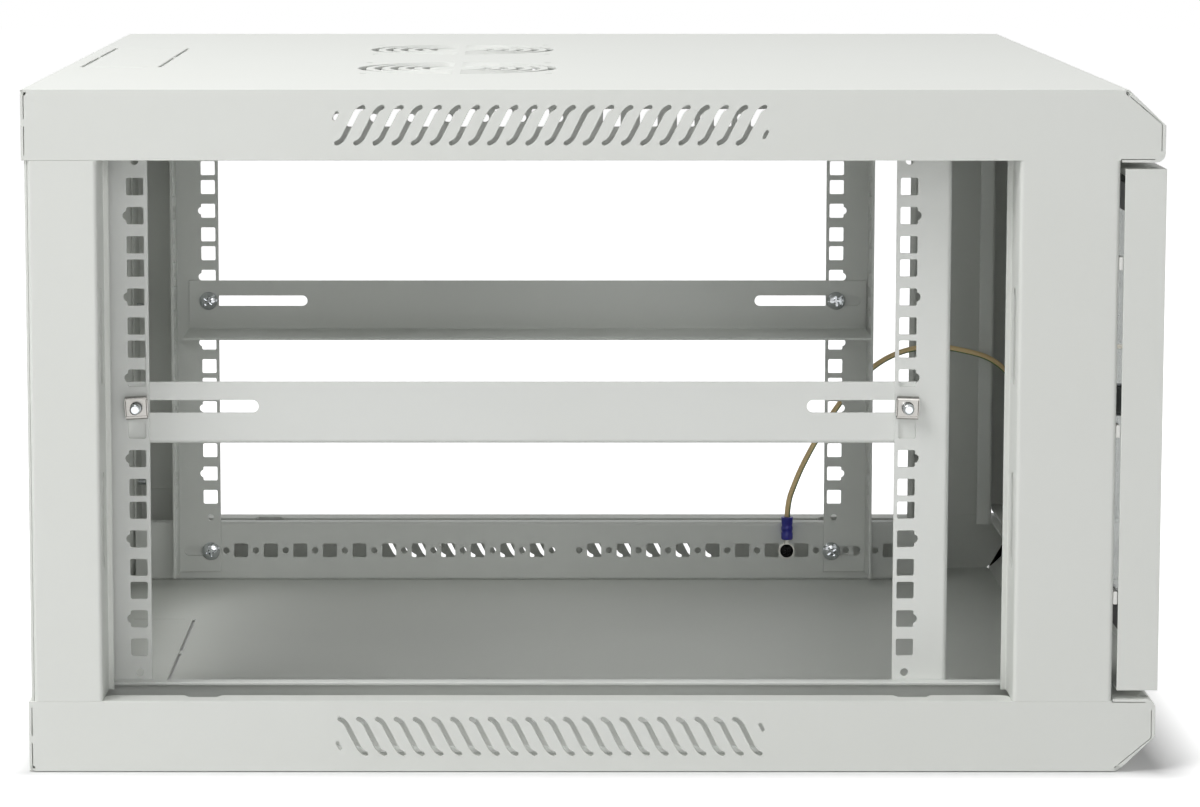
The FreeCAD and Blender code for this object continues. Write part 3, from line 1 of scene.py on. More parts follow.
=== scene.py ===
import bmesh
import bpy
import math
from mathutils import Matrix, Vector


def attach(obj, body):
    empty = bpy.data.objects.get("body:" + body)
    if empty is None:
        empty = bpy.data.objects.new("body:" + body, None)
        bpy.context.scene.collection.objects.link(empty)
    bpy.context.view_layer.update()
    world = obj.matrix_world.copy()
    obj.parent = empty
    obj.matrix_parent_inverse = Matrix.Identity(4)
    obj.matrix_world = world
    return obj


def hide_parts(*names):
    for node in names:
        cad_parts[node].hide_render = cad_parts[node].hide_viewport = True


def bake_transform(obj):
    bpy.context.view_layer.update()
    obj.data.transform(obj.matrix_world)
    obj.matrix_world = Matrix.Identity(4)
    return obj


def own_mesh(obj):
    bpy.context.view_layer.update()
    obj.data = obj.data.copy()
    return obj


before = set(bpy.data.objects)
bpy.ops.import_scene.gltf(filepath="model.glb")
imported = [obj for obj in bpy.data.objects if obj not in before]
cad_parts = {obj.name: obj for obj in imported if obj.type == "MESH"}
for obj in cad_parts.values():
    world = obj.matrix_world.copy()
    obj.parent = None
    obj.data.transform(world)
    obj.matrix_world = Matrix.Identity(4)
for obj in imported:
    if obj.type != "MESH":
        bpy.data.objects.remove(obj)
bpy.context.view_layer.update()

# Camera: beside the open left side, a little above the roof and square to the side opening, as in the
# photograph. It is tipped down by a few degrees, so that only a small part of the framing is shift.
eye = Vector((-2.4241, 0.0375, 0.5023))
tip_down = math.radians(6.72)
lens = bpy.data.cameras.new("side_view")
lens.sensor_width = 36
lens.lens = 120.53
lens.shift_x = 0.0638
lens.shift_y = -0.08
lens.clip_start = 0.05
lens.clip_end = 50
camera = bpy.data.objects.new("side_view", lens)
bpy.context.scene.collection.objects.link(camera)
camera.location = eye
camera.rotation_euler = (math.radians(90) - tip_down, 0, math.radians(-90))
bpy.context.scene.camera = camera

# Earth wire: stranded copper in yellow and green insulation, from the lower right strut to the door.
# It leaves the strut upright, arches past the post's edge and drops to the door's stud.
wire_thickness = 0.0038
wire_route = [
    (0.2489, -0.14025, 0.0453), (0.2489, -0.14075, 0.0555), (0.2498, -0.1445, 0.066),
    (0.2518, -0.150, 0.079), (0.2558, -0.160, 0.097), (0.2608, -0.1735, 0.118),
    (0.2625, -0.190, 0.139), (0.260, -0.211, 0.155), (0.2545, -0.237, 0.1615),
    (0.2512, -0.261, 0.1575), (0.2516, -0.276, 0.153), (0.2539, -0.2885, 0.143),
    (0.255, -0.294, 0.131), (0.255, -0.294, 0.1205),
]
line = bpy.data.curves.new("earth_wire_line", "CURVE")
line.dimensions = "3D"
run = line.splines.new("NURBS")
run.points.add(len(wire_route) - 1)
for point, place in zip(run.points, wire_route):
    point.co = (*place, 1)
run.order_u = 3
run.use_endpoint_u = True
run.resolution_u = 12
line_holder = bpy.data.objects.new("earth_wire_line", line)
bpy.context.scene.collection.objects.link(line_holder)
wire_points = [vertex.co.copy() for vertex in bpy.data.meshes.new_from_object(line_holder).vertices]
bpy.data.objects.remove(line_holder)


def swept(name, points, radius, sides, attribute=None):
    """A round tube along points, closed at both ends, with its turn around the wire kept in an attribute."""
    mesh = bpy.data.meshes.new(name)
    vertices = []
    turns = []
    side = Vector((0, 0, 1)).cross(points[1] - points[0])
    if side.length < 1e-6:
        side = Vector((1, 0, 0))
    for index, point in enumerate(points):
        ahead = (points[min(index + 1, len(points) - 1)] - points[max(index - 1, 0)]).normalized()
        side = (side - ahead * side.dot(ahead)).normalized()
        across = ahead.cross(side)
        for step in range(sides):
            angle = 2 * math.pi * step / sides
            vertices.append(point + (side * math.cos(angle) + across * math.sin(angle)) * radius)
            turns.append(step / sides)
    faces = []
    for ring in range(len(points) - 1):
        for step in range(sides):
            a, b = ring * sides + step, ring * sides + (step + 1) % sides
            faces.append((a, b, b + sides, a + sides))
    faces.append(tuple(reversed(range(sides))))
    faces.append(tuple(range(len(vertices) - sides, len(vertices))))
    mesh.from_pydata(vertices, [], faces)
    mesh.polygons.foreach_set("use_smooth", [len(face) == 4 for face in faces])
    if attribute:
        layer = mesh.attributes.new(attribute, "FLOAT", "POINT")
        layer.data.foreach_set("value", turns)
    piece = bpy.data.objects.new(name, mesh)
    bpy.context.scene.collection.objects.link(piece)
    return piece


def put(tree, kind, inputs=(), **settings):
    """Adds one node with its settings. Its inputs are given as values or as other nodes' outputs."""
    node = tree.nodes.new(kind)
    for key, value in settings.items():
        setattr(node, key, value)
    for key, value in dict(inputs).items():
        if isinstance(value, bpy.types.NodeSocket):
            tree.links.new(value, node.inputs[key])
        else:
            node.inputs[key].default_value = value
    return node


def colour(red, green, blue):
    """A colour as a picture program gives it, 0 to 255, for a shader's socket."""
    parts = [c / 255 for c in (red, green, blue)]
    return [p / 12.92 if p <= 0.04045 else ((p + 0.055) / 1.055) ** 2.4 for p in parts] + [1.0]


def shader(name):
    """A new material, with its node tree and its Principled shader."""
    material = bpy.data.materials.new(name)
    material.use_nodes = True
    return material, material.node_tree, material.node_tree.nodes["Principled BSDF"]


insulation, tree, surface = shader("earth_insulation")
surface.inputs["Roughness"].default_value = 0.38
turn = put(tree, "ShaderNodeAttribute", attribute_name="wire_turn")
stripe = put(tree, "ShaderNodeValToRGB", {"Fac": turn.outputs["Fac"]})
yellow, green = colour(242, 214, 160), colour(88, 124, 72)
stripe.color_ramp.elements[0].color = yellow
stripe.color_ramp.elements[1].position = 0.56
stripe.color_ramp.elements[1].color = yellow
for position, shade in ((0.60, green), (0.94, green), (0.98, yellow)):
    stripe.color_ramp.elements.new(position).color = shade
tree.links.new(stripe.outputs["Color"], surface.inputs["Base Color"])

wire = swept("earth_wire_insulation", wire_points, wire_thickness / 2, 16, "wire_turn")
wire.data.materials.append(insulation)
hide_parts("earth_wire")
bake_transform(wire)

# Cover and tray: each is cut and folded from one 1.5 mm steel sheet, with vents, fan grilles and a cable
# knock-out, welded at the corners and powder coated in light grey. The powder rounds every cut edge.
grain = bpy.data.node_groups.new("powder_grain", "ShaderNodeTree")
for title, value in (("Grain Size", 900.0), ("Cloud Size", 9.0)):
    grain.interface.new_socket(title, in_out="INPUT", socket_type="NodeSocketFloat").default_value = value
for title in ("Height", "Tone"):
    grain.interface.new_socket(title, in_out="OUTPUT", socket_type="NodeSocketFloat")
entry = put(grain, "NodeGroupInput")
leave = put(grain, "NodeGroupOutput")
place = put(grain, "ShaderNodeTexCoord").outputs["Object"]
peel = put(grain, "ShaderNodeTexNoise", {
    "Vector": place, "Scale": entry.outputs["Grain Size"], "Detail": 2})
cloud = put(grain, "ShaderNodeTexNoise", {
    "Vector": place, "Scale": entry.outputs["Cloud Size"], "Detail": 3})
grain.links.new(peel.outputs["Fac"], leave.inputs["Height"])
grain.links.new(cloud.outputs["Fac"], leave.inputs["Tone"])


coat_spread = 0.05


def powder_coat(name, light, dark, roughness, depth):
    """Powder coat in two close tones, with its skin as a fine bump."""
    material, tree, surface = shader(name)
    surface.inputs["Specular IOR Level"].default_value = 0.3
    skin = put(tree, "ShaderNodeGroup", node_tree=grain)
    tone = put(tree, "ShaderNodeMix", {"Factor": skin.outputs["Tone"]}, data_type="RGBA")
    tone.inputs["A"].default_value = colour(*dark)
    tone.inputs["B"].default_value = colour(*light)
    gloss = put(tree, "ShaderNodeMapRange", {
        "Value": skin.outputs["Tone"], "To Min": roughness - coat_spread,
        "To Max": roughness + coat_spread})
    bump = put(tree, "ShaderNodeBump", {
        "Height": skin.outputs["Height"], "Strength": 0.25, "Distance": depth})
    tree.links.new(tone.outputs["Result"], surface.inputs["Base Color"])
    tree.links.new(gloss.outputs["Result"], surface.inputs["Roughness"])
    tree.links.new(bump.outputs["Normal"], surface.inputs["Normal"])
    return material


weld_gap = 0.000002
flat_angle, sharp_angle = math.radians(0.4), math.radians(32)
roomy_share = 2.5


def eased(node, body, radius, material, segments=2, shortest=0.0):
    """A node's own shape with its loose triangles joined. Its sharp edges are rounded, but for the short
    ones of small curves and those beside a face too narrow for the radius."""
    form = bmesh.new()
    form.from_mesh(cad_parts[node].data)
    bmesh.ops.remove_doubles(form, verts=form.verts, dist=weld_gap)
    bmesh.ops.dissolve_limit(form, angle_limit=flat_angle, verts=form.verts, edges=form.edges)
    weights = form.edges.layers.float.new("bevel_weight_edge")
    for edge in form.edges:
        length = edge.calc_length()
        sharp = len(edge.link_faces) == 2 and edge.calc_face_angle() > sharp_angle
        roomy = all(face.calc_area() > roomy_share * radius * length for face in edge.link_faces)
        edge[weights] = float(sharp and roomy and length > shortest)
    mesh = bpy.data.meshes.new(node + "_eased")
    form.to_mesh(mesh)
    form.free()
    mesh.shade_smooth()
    mesh.set_sharp_from_angle(angle=sharp_angle)
    mesh.materials.clear()
    mesh.materials.append(material)
    piece = bpy.data.objects.new(node + "_eased", mesh)
    bpy.context.scene.collection.objects.link(piece)
    edge = piece.modifiers.new("eased_edge", "BEVEL")
    edge.width = radius
    edge.segments = segments
    edge.limit_method = "WEIGHT"
    edge.use_clamp_overlap = False
    weight = piece.modifiers.new("flat_faces", "WEIGHTED_NORMAL")
    weight.keep_sharp = True
    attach(piece, body)
    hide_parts(node)


coat = powder_coat("powder_coat", (228, 230, 226), (224, 226, 221), 0.5, 0.00004)
for node in ("top_cover", "bottom_tray"):
    eased(node, "cabinet", 0.0003, coat, shortest=0.002)

# Rear panel: a flat steel sheet in the same coat, screwed on behind the rear posts. It is punched with
# four wall holes and a wide cable entry.
eased("rear_panel", "cabinet", 0.0003, coat, shortest=0.005)

# Corner posts: channels folded from the same sheet, in the same coat. Their tabs are spot welded inside
# the skirts of the tray and the cover.
for node in ("rear_left_post", "rear_right_post", "front_left_post", "front_right_post"):
    eased(node, "cabinet", 0.0003, coat, shortest=0.005)

# Struts: folded strips with rows of square and round holes, spot welded to the tray and the cover.
# They and the parts bolted to them come from another batch of the coat.
rail_coat = powder_coat("rail_coat", (231, 233, 230), (227, 229, 225), 0.46, 0.00004)
for node in ("bottom_left_strut", "bottom_right_strut", "top_left_strut", "top_right_strut"):
    eased(node, "cabinet", 0.00025, rail_coat, shortest=0.005)

# Rack rails: four angles of 2 mm steel, punched with square holes at the rack's pitch. Screws through
# their ends hold them on the struts.
for node in ("front_left_rail", "front_right_rail", "rear_left_rail", "rear_right_rail"):
    eased(node, "cabinet", 0.0003, rail_coat, shortest=0.003)

# Side brackets: folded steel angles that carry a heavy unit from below. Their long slots let them move
# along before the screws hold them on the rails.
for node in ("left_side_bracket", "right_side_bracket"):
    eased(node, "cabinet", 0.0003, rail_coat, shortest=0.003)


# Machine screws: M6 pan heads with a cross recess in bright zinc plate. Four hold the side brackets and
# eight hold the rails. Each comes through from inside into a cage nut.
def tree_of(name, sizes):
    """A Geometry Nodes tree that takes marked points, a finish and named sizes in metres."""
    tree = bpy.data.node_groups.new(name, "GeometryNodeTree")
    tree.is_modifier = True
    tree.interface.new_socket("Geometry", in_out="INPUT", socket_type="NodeSocketGeometry")
    tree.interface.new_socket("Finish", in_out="INPUT", socket_type="NodeSocketMaterial")
    for title, value in sizes.items():
        socket = tree.interface.new_socket(title, in_out="INPUT", socket_type="NodeSocketFloat")
        socket.default_value = value
    tree.interface.new_socket("Geometry", in_out="OUTPUT", socket_type="NodeSocketGeometry")
    return tree, put(tree, "NodeGroupInput"), put(tree, "NodeGroupOutput")


def sums(tree, operation, first, second=0.0, third=0.0):
    """The result of one sum between sizes."""
    return put(tree, "ShaderNodeMath", {0: first, 1: second, 2: third}, operation=operation).outputs[0]


def vector(tree, x=0.0, y=0.0, z=0.0):
    """A vector from three sizes."""
    return put(tree, "ShaderNodeCombineXYZ", {"X": x, "Y": y, "Z": z}).outputs[0]


def moved(tree, shape, **inputs):
    """The shape, moved, turned or scaled."""
    titles = {"Geometry": shape}
    titles.update({title.capitalize(): value for title, value in inputs.items()})
    return put(tree, "GeometryNodeTransform", titles).outputs[0]


def carved(tree, base, *tools):
    """The base, less the tools."""
    node = put(tree, "GeometryNodeMeshBoolean", {0: base}, operation="DIFFERENCE", solver="EXACT")
    for tool in tools:
        tree.links.new(tool, node.inputs[1])
    return node.outputs[0]


def set_on_points(tree, entry, leave, piece):
    """Sets the piece on every marked point, along its axis and turned about it, as one real mesh."""
    axis = put(tree, "GeometryNodeInputNamedAttribute", {"Name": "axis"}, data_type="FLOAT_VECTOR")
    turn = put(tree, "GeometryNodeInputNamedAttribute", {"Name": "turn"}, data_type="FLOAT")
    upright = put(tree, "FunctionNodeAlignRotationToVector", {"Vector": axis.outputs["Attribute"]},
                  axis="Z")
    about = put(tree, "FunctionNodeAxisAngleToRotation", {
        "Axis": (0, 0, 1), "Angle": turn.outputs["Attribute"]})
    both = put(tree, "FunctionNodeRotateRotation", {0: upright.outputs[0], 1: about.outputs[0]},
               rotation_space="LOCAL")
    spread = put(tree, "GeometryNodeInstanceOnPoints", {"Points": entry.outputs["Geometry"],
                                                        "Instance": piece, "Rotation": both.outputs[0]})
    real = put(tree, "GeometryNodeRealizeInstances", {0: spread.outputs[0]})
    finish = put(tree, "GeometryNodeSetMaterial", {0: real.outputs[0], "Material": entry.outputs["Finish"]})
    tree.links.new(finish.outputs[0], leave.inputs[0])


screw_tree, entry, leave = tree_of("pan_screw", {
    "Head Radius": 0.006, "Head Height": 0.0034, "Shank Radius": 0.003, "Length": 0.016, "Pitch": 0.001,
    "Recess Length": 0.0068, "Recess Width": 0.0014, "Recess Depth": 0.0024})
tall = entry.outputs["Head Height"]
wide = entry.outputs["Head Radius"]
dome_share, thread_depth = 1.14, 0.045
tip_length, tip_share = 0.0009, 0.72
dome = put(screw_tree, "GeometryNodeMeshUVSphere", {"Segments": 40, "Rings": 24, "Radius": 1.0}).outputs[0]
dome = moved(screw_tree, dome, scale=vector(screw_tree, sums(screw_tree, "MULTIPLY", wide, dome_share),
                                            sums(screw_tree, "MULTIPLY", wide, dome_share), tall))
drum = put(screw_tree, "GeometryNodeMeshCylinder", {
    "Vertices": 40, "Radius": wide, "Depth": sums(screw_tree, "MULTIPLY", tall, 2.0)}).outputs[0]
drum = moved(screw_tree, drum, translation=vector(screw_tree, z=tall))
head = put(screw_tree, "GeometryNodeMeshBoolean", operation="INTERSECT", solver="EXACT")
for shape in (dome, drum):
    screw_tree.links.new(shape, head.inputs[1])
deep = sums(screw_tree, "MULTIPLY", entry.outputs["Recess Depth"], 2.0)
arms = [put(screw_tree, "GeometryNodeMeshCube", {"Size": vector(screw_tree, x, y, deep)}).outputs[0]
        for x, y in ((entry.outputs["Recess Length"], entry.outputs["Recess Width"]),
                     (entry.outputs["Recess Width"], entry.outputs["Recess Length"]))]
arms.append(put(screw_tree, "GeometryNodeMeshCone", {
    "Vertices": 8, "Radius Top": sums(screw_tree, "MULTIPLY", entry.outputs["Recess Width"], 1.6),
    "Radius Bottom": sums(screw_tree, "MULTIPLY", entry.outputs["Recess Width"], 0.4),
    "Depth": entry.outputs["Recess Depth"]}).outputs[0])
arms[2] = moved(screw_tree, arms[2], translation=vector(
    screw_tree, z=sums(screw_tree, "MULTIPLY", entry.outputs["Recess Depth"], -1.0)))
crown = vector(screw_tree, z=sums(screw_tree, "MULTIPLY", tall, 1.02))
head = carved(screw_tree, head.outputs[0], *[moved(screw_tree, arm, translation=crown) for arm in arms])
shank = put(screw_tree, "GeometryNodeMeshCylinder", {
    "Vertices": 16, "Side Segments": 60, "Radius": entry.outputs["Shank Radius"],
    "Depth": entry.outputs["Length"]}).outputs[0]
spot = put(screw_tree, "ShaderNodeSeparateXYZ", {0: put(screw_tree, "GeometryNodeInputPosition").outputs[0]})
lead = sums(screw_tree, "DIVIDE", sums(screw_tree, "MULTIPLY", spot.outputs["Z"], 2 * math.pi),
            entry.outputs["Pitch"])
lead = sums(screw_tree, "ADD", lead, sums(screw_tree, "ARCTAN2", spot.outputs["Y"], spot.outputs["X"]))
thread = sums(screw_tree, "MULTIPLY_ADD", sums(screw_tree, "SINE", lead), thread_depth, 1 - thread_depth)
end = sums(screw_tree, "MULTIPLY_ADD", entry.outputs["Length"], 0.5, spot.outputs["Z"])
tip = put(screw_tree, "ShaderNodeMapRange", {
    "Value": end, "From Max": tip_length, "To Min": tip_share}).outputs[0]
slim = sums(screw_tree, "MULTIPLY", thread, tip)
shank = put(screw_tree, "GeometryNodeSetPosition", {"Geometry": shank, "Position": vector(
    screw_tree, sums(screw_tree, "MULTIPLY", spot.outputs["X"], slim),
    sums(screw_tree, "MULTIPLY", spot.outputs["Y"], slim), spot.outputs["Z"])}).outputs[0]
shank = moved(screw_tree, shank, translation=vector(
    screw_tree, z=sums(screw_tree, "MULTIPLY", entry.outputs["Length"], -0.5)))
whole = put(screw_tree, "GeometryNodeJoinGeometry")
for shape in (head, shank):
    screw_tree.links.new(shape, whole.inputs[0])
set_on_points(screw_tree, entry, leave, whole.outputs[0])


turned_angle = math.radians(34)


def on_places(name, tree, places, material, body, replaced, sizes=()):
    """Runs a tree on its places, each given as (place, axis, turn), and keeps a plain mesh."""
    marks = bpy.data.meshes.new(name + "_places")
    marks.from_pydata([place for place, axis, turn in places], [], [])
    axes = marks.attributes.new("axis", "FLOAT_VECTOR", "POINT")
    axes.data.foreach_set("vector", [part for place, axis, turn in places for part in axis])
    turns = marks.attributes.new("turn", "FLOAT", "POINT")
    turns.data.foreach_set("value", [math.radians(turn) for place, axis, turn in places])
    piece = bpy.data.objects.new(name, marks)
    bpy.context.scene.collection.objects.link(piece)
    maker = piece.modifiers.new(name, "NODES")
    maker.node_group = tree
    given = dict(sizes)
    given["Finish"] = material
    for socket in tree.interface.items_tree:
        if socket.in_out == "INPUT" and socket.name in given:
            maker[socket.identifier] = given[socket.name]
    shape = bpy.data.meshes.new_from_object(piece.evaluated_get(bpy.context.evaluated_depsgraph_get()))
    piece.modifiers.remove(maker)
    shape.name = name
    shape.shade_smooth()
    shape.set_sharp_from_angle(angle=turned_angle)
    piece.data = shape
    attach(piece, body)
    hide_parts(replaced)


polish_spread = 0.08


def plated(name, tone, roughness, streaks):
    """Plated steel, with the fine streaks of the bar or wire that it is made from."""
    material, tree, surface = shader(name)
    surface.inputs["Metallic"].default_value = 1
    surface.inputs["Base Color"].default_value = colour(*tone)
    place = put(tree, "ShaderNodeTexCoord").outputs["Object"]
    streak = put(tree, "ShaderNodeTexNoise", {"Vector": place, "Scale": streaks, "Detail": 3})
    gloss = put(tree, "ShaderNodeMapRange", {
        "Value": streak.outputs["Fac"], "To Min": roughness - polish_spread,
        "To Max": roughness + polish_spread})
    bump = put(tree, "ShaderNodeBump", {"Height": streak.outputs["Fac"], "Strength": 0.15,
                                        "Distance": 0.00005})
    tree.links.new(gloss.outputs["Result"], surface.inputs["Roughness"])
    tree.links.new(bump.outputs["Normal"], surface.inputs["Normal"])
    return material


zinc = plated("zinc_plate", (206, 209, 212), 0.16, 500)
bracket_face, bracket_hole_z = 0.2494, 0.19185
rail_columns = (-0.1719, 0.2484)
turns = {(-1, 0): 12, (-1, 1): -30, (1, 0): 8, (1, 1): 52}
on_places("bracket_pan_screws", screw_tree,
          [((side * bracket_face, y, bracket_hole_z), (-side, 0, 0), turns[side, row])
           for side in (-1, 1) for row, y in enumerate(rail_columns)],
          zinc, "cabinet", "bracket_screws")
rail_inner = 0.251
foot_columns = (-0.1703, 0.2483)
foot_rows = (0.0216, 0.3499)
on_places("rail_pan_screws", screw_tree,
          [((side * rail_inner, y, z), (-side, 0, 0), 35 + 50 * row - 20 * column)
           for side in (-1, 1) for column, y in enumerate(foot_columns) for row, z in enumerate(foot_rows)],
          zinc, "cabinet", "rail_screws")

# Rear panel screws: M5 steel screws with low heads, in the same plate. Three at each side go through
# the panel into the rear posts.
panel_back = 0.3025
panel_screw_columns = (-0.28, 0.28)
panel_screw_rows = (0.0644, 0.1844, 0.3044)
on_places("panel_pan_screws", screw_tree,
          [((x, panel_back, z), (0, 1, 0), 20 * index)
           for x in panel_screw_columns for index, z in enumerate(panel_screw_rows)],
          zinc, "cabinet", "rear_panel_screws",
          {"Head Radius": 0.00475, "Head Height": 0.0012, "Shank Radius": 0.0025, "Length": 0.008,
           "Pitch": 0.0008, "Recess Length": 0.0046, "Recess Width": 0.0009, "Recess Depth": 0.0008})

# Cage nuts: a square nut in a spring steel cage, nickel plated. The cage grips the nut with a lip over its
# top and its bottom, is open at its sides and behind, and its neck snaps into the sheet's square hole.
nut_tree, entry, leave = tree_of("cage_nut", {
    "Width": 0.0124, "Depth": 0.0056, "Wall": 0.0007, "Bend": 0.0015, "Lip": 0.0017,
    "Nut Width": 0.0108, "Bore Radius": 0.0031, "Chamfer": 0.0005, "Neck": 0.0088, "Reach": 0.0015})
width, depth, wall = (entry.outputs[title] for title in ("Width", "Depth", "Wall"))
loops = put(nut_tree, "GeometryNodeJoinGeometry")
for shrink in (0.0, 2.0):
    less = sums(nut_tree, "MULTIPLY", wall, shrink)
    loop = put(nut_tree, "GeometryNodeCurvePrimitiveQuadrilateral", {
        "Width": sums(nut_tree, "SUBTRACT", width, less), "Height": sums(nut_tree, "SUBTRACT", depth, less)})
    bend = sums(nut_tree, "SUBTRACT", entry.outputs["Bend"], sums(nut_tree, "MULTIPLY", less, 0.5))
    corner = put(nut_tree, "GeometryNodeFilletCurve", {"Curve": loop.outputs[0], "Radius": bend},
                 mode="POLY")
    corner.inputs["Count"].default_value = 5
    nut_tree.links.new(corner.outputs[0], loops.inputs[0])
flat = put(nut_tree, "GeometryNodeFillCurve", {0: loops.outputs[0]}, mode="NGONS").outputs[0]
cage_width = sums(nut_tree, "MULTIPLY", width, 0.94)
pulled = put(nut_tree, "GeometryNodeExtrudeMesh", {"Mesh": flat, "Offset": vector(nut_tree, z=cage_width),
                                                   "Offset Scale": 1.0, "Individual": False}, mode="FACES")
closed = put(nut_tree, "GeometryNodeJoinGeometry")
for shape in (put(nut_tree, "GeometryNodeFlipFaces", {0: flat}).outputs[0], pulled.outputs[0]):
    nut_tree.links.new(shape, closed.inputs[0])
cage = put(nut_tree, "GeometryNodeMergeByDistance", {0: closed.outputs[0], "Distance": 0.000001}).outputs[0]
cage = moved(nut_tree, cage, translation=vector(nut_tree, z=sums(nut_tree, "MULTIPLY", cage_width, -0.5)))
cage = moved(nut_tree, cage, rotation=(math.radians(90), 0, 0))
half_depth = sums(nut_tree, "MULTIPLY", depth, 0.5)
cage = moved(nut_tree, cage, translation=vector(nut_tree, z=half_depth))
between_lips = sums(nut_tree, "SUBTRACT", width, sums(nut_tree, "MULTIPLY", entry.outputs["Lip"], 2.0))
window = put(nut_tree, "GeometryNodeMeshCube", {"Size": vector(
    nut_tree, between_lips, sums(nut_tree, "MULTIPLY", width, 2.0), sums(nut_tree, "MULTIPLY", wall, 4.0))})
cage = carved(nut_tree, cage, moved(nut_tree, window.outputs[0], translation=vector(nut_tree, z=depth)))
bore = put(nut_tree, "GeometryNodeMeshCylinder", {
    "Vertices": 24, "Radius": entry.outputs["Bore Radius"], "Depth": 0.02}).outputs[0]
nut_width = entry.outputs["Nut Width"]
block = put(nut_tree, "GeometryNodeMeshCube", {"Size": vector(
    nut_tree, nut_width, nut_width, sums(nut_tree, "MULTIPLY", depth, 0.7))}).outputs[0]
block = moved(nut_tree, block, translation=vector(nut_tree, z=half_depth))
flare = entry.outputs["Chamfer"]
mouth = put(nut_tree, "GeometryNodeMeshCone", {
    "Vertices": 24, "Radius Top": sums(nut_tree, "MULTIPLY_ADD", flare, 2.0, entry.outputs["Bore Radius"]),
    "Radius Bottom": sums(nut_tree, "SUBTRACT", entry.outputs["Bore Radius"], flare),
    "Depth": sums(nut_tree, "MULTIPLY", flare, 3.0)}).outputs[0]
mouth = moved(nut_tree, mouth, translation=vector(nut_tree, z=sums(
    nut_tree, "SUBTRACT", sums(nut_tree, "MULTIPLY", depth, 0.85), sums(nut_tree, "MULTIPLY", flare, 1.5))))
neck = put(nut_tree, "GeometryNodeMeshCube", {"Size": vector(
    nut_tree, entry.outputs["Neck"], entry.outputs["Neck"], entry.outputs["Reach"])}).outputs[0]
neck = moved(nut_tree, neck, translation=vector(
    nut_tree, z=sums(nut_tree, "MULTIPLY", entry.outputs["Reach"], -0.5)))
leg_size = vector(nut_tree, sums(nut_tree, "MULTIPLY", width, 0.7), sums(nut_tree, "MULTIPLY", width, 0.028),
                  sums(nut_tree, "MULTIPLY", depth, 0.8))
leg = put(nut_tree, "GeometryNodeMeshCube", {"Size": leg_size}).outputs[0]
legs = [moved(nut_tree, leg, translation=vector(
    nut_tree, y=sums(nut_tree, "MULTIPLY", width, side * 0.485), z=sums(nut_tree, "MULTIPLY", depth, 0.45)))
    for side in (-1, 1)]
whole = put(nut_tree, "GeometryNodeJoinGeometry")
for shape in (cage, carved(nut_tree, block, bore, mouth), carved(nut_tree, neck, bore), *legs):
    nut_tree.links.new(shape, whole.inputs[0])
set_on_points(nut_tree, entry, leave, whole.outputs[0])

nickel = plated("nickel_plate", (162, 160, 156), 0.22, 900)
rail_outer = 0.253
lean = {(-1, 0): -2, (-1, 1): 3, (1, 0): 1, (1, 1): -2}
on_places("bracket_nut_cages", nut_tree,
          [((side * rail_outer, y, bracket_hole_z), (side, 0, 0), lean[side, row])
           for side in (-1, 1) for row, y in enumerate(rail_columns)],
          nickel, "cabinet", "bracket_cage_nuts", {"Reach": 0.002})
strut_outer = 0.2545
on_places("rail_nut_cages", nut_tree,
          [((side * strut_outer, y, z), (side, 0, 0), 2 - 3 * row)
           for side in (-1, 1) for y in foot_columns for row, z in enumerate(foot_rows)],
          nickel, "cabinet", "rail_cage_nuts")


# Cable entry trim: an edging of extruded black rubber, pushed over the edge of the rear panel's cable
# entry, so that the sheet doesn't cut the cables.
def moulded(name, tone, roughness, scale, strength):
    """Moulded plastic or rubber with a fine even grain."""
    material, tree, surface = shader(name)
    surface.inputs["Base Color"].default_value = colour(*tone)
    surface.inputs["Roughness"].default_value = roughness
    place = put(tree, "ShaderNodeTexCoord").outputs["Object"]
    grit = put(tree, "ShaderNodeTexNoise", {"Vector": place, "Scale": scale})
    bump = put(tree, "ShaderNodeBump", {"Height": grit.outputs["Fac"], "Strength": strength,
                                        "Distance": 0.0001})
    tree.links.new(bump.outputs["Normal"], surface.inputs["Normal"])
    return material


rubber = moulded("rubber", (34, 34, 35), 0.65, 1500, 0.3)
eased("cable_entry_trim", "cabinet", 0.0007, rubber, 3)

# Door: a frame folded from steel sheet, in the cabinet's coat, around a pane of tempered glass. A black
# rubber channel holds the pane from behind.
eased("door_frame", "door", 0.0004, coat, 3)
eased("glass_seal", "door", 0.0006, rubber, 3)
clear, tree, surface = shader("door_glass")
surface.inputs["Base Color"].default_value = colour(212, 215, 214)
surface.inputs["Transmission Weight"].default_value = 1
surface.inputs["Roughness"].default_value = 0.02
surface.inputs["IOR"].default_value = 1.45
eased("door_glass", "door", 0.0004, clear)

# Lock: a die cast housing with a chrome face, held by a nut behind the frame. Its plug turns a steel
# cam, which a screw holds on the plug's tail.
chrome = plated("lock_chrome", (158, 160, 164), 0.2, 300)
eased("lock_housing", "door", 0.0006, chrome, 3)
eased("lock_nut", "door", 0.0006, zinc, 3)
eased("lock_plug", "lock", 0.00025, chrome)
eased("lock_cam", "lock", 0.0003, zinc)
eased("cam_screw", "lock", 0.0008, zinc, 4)

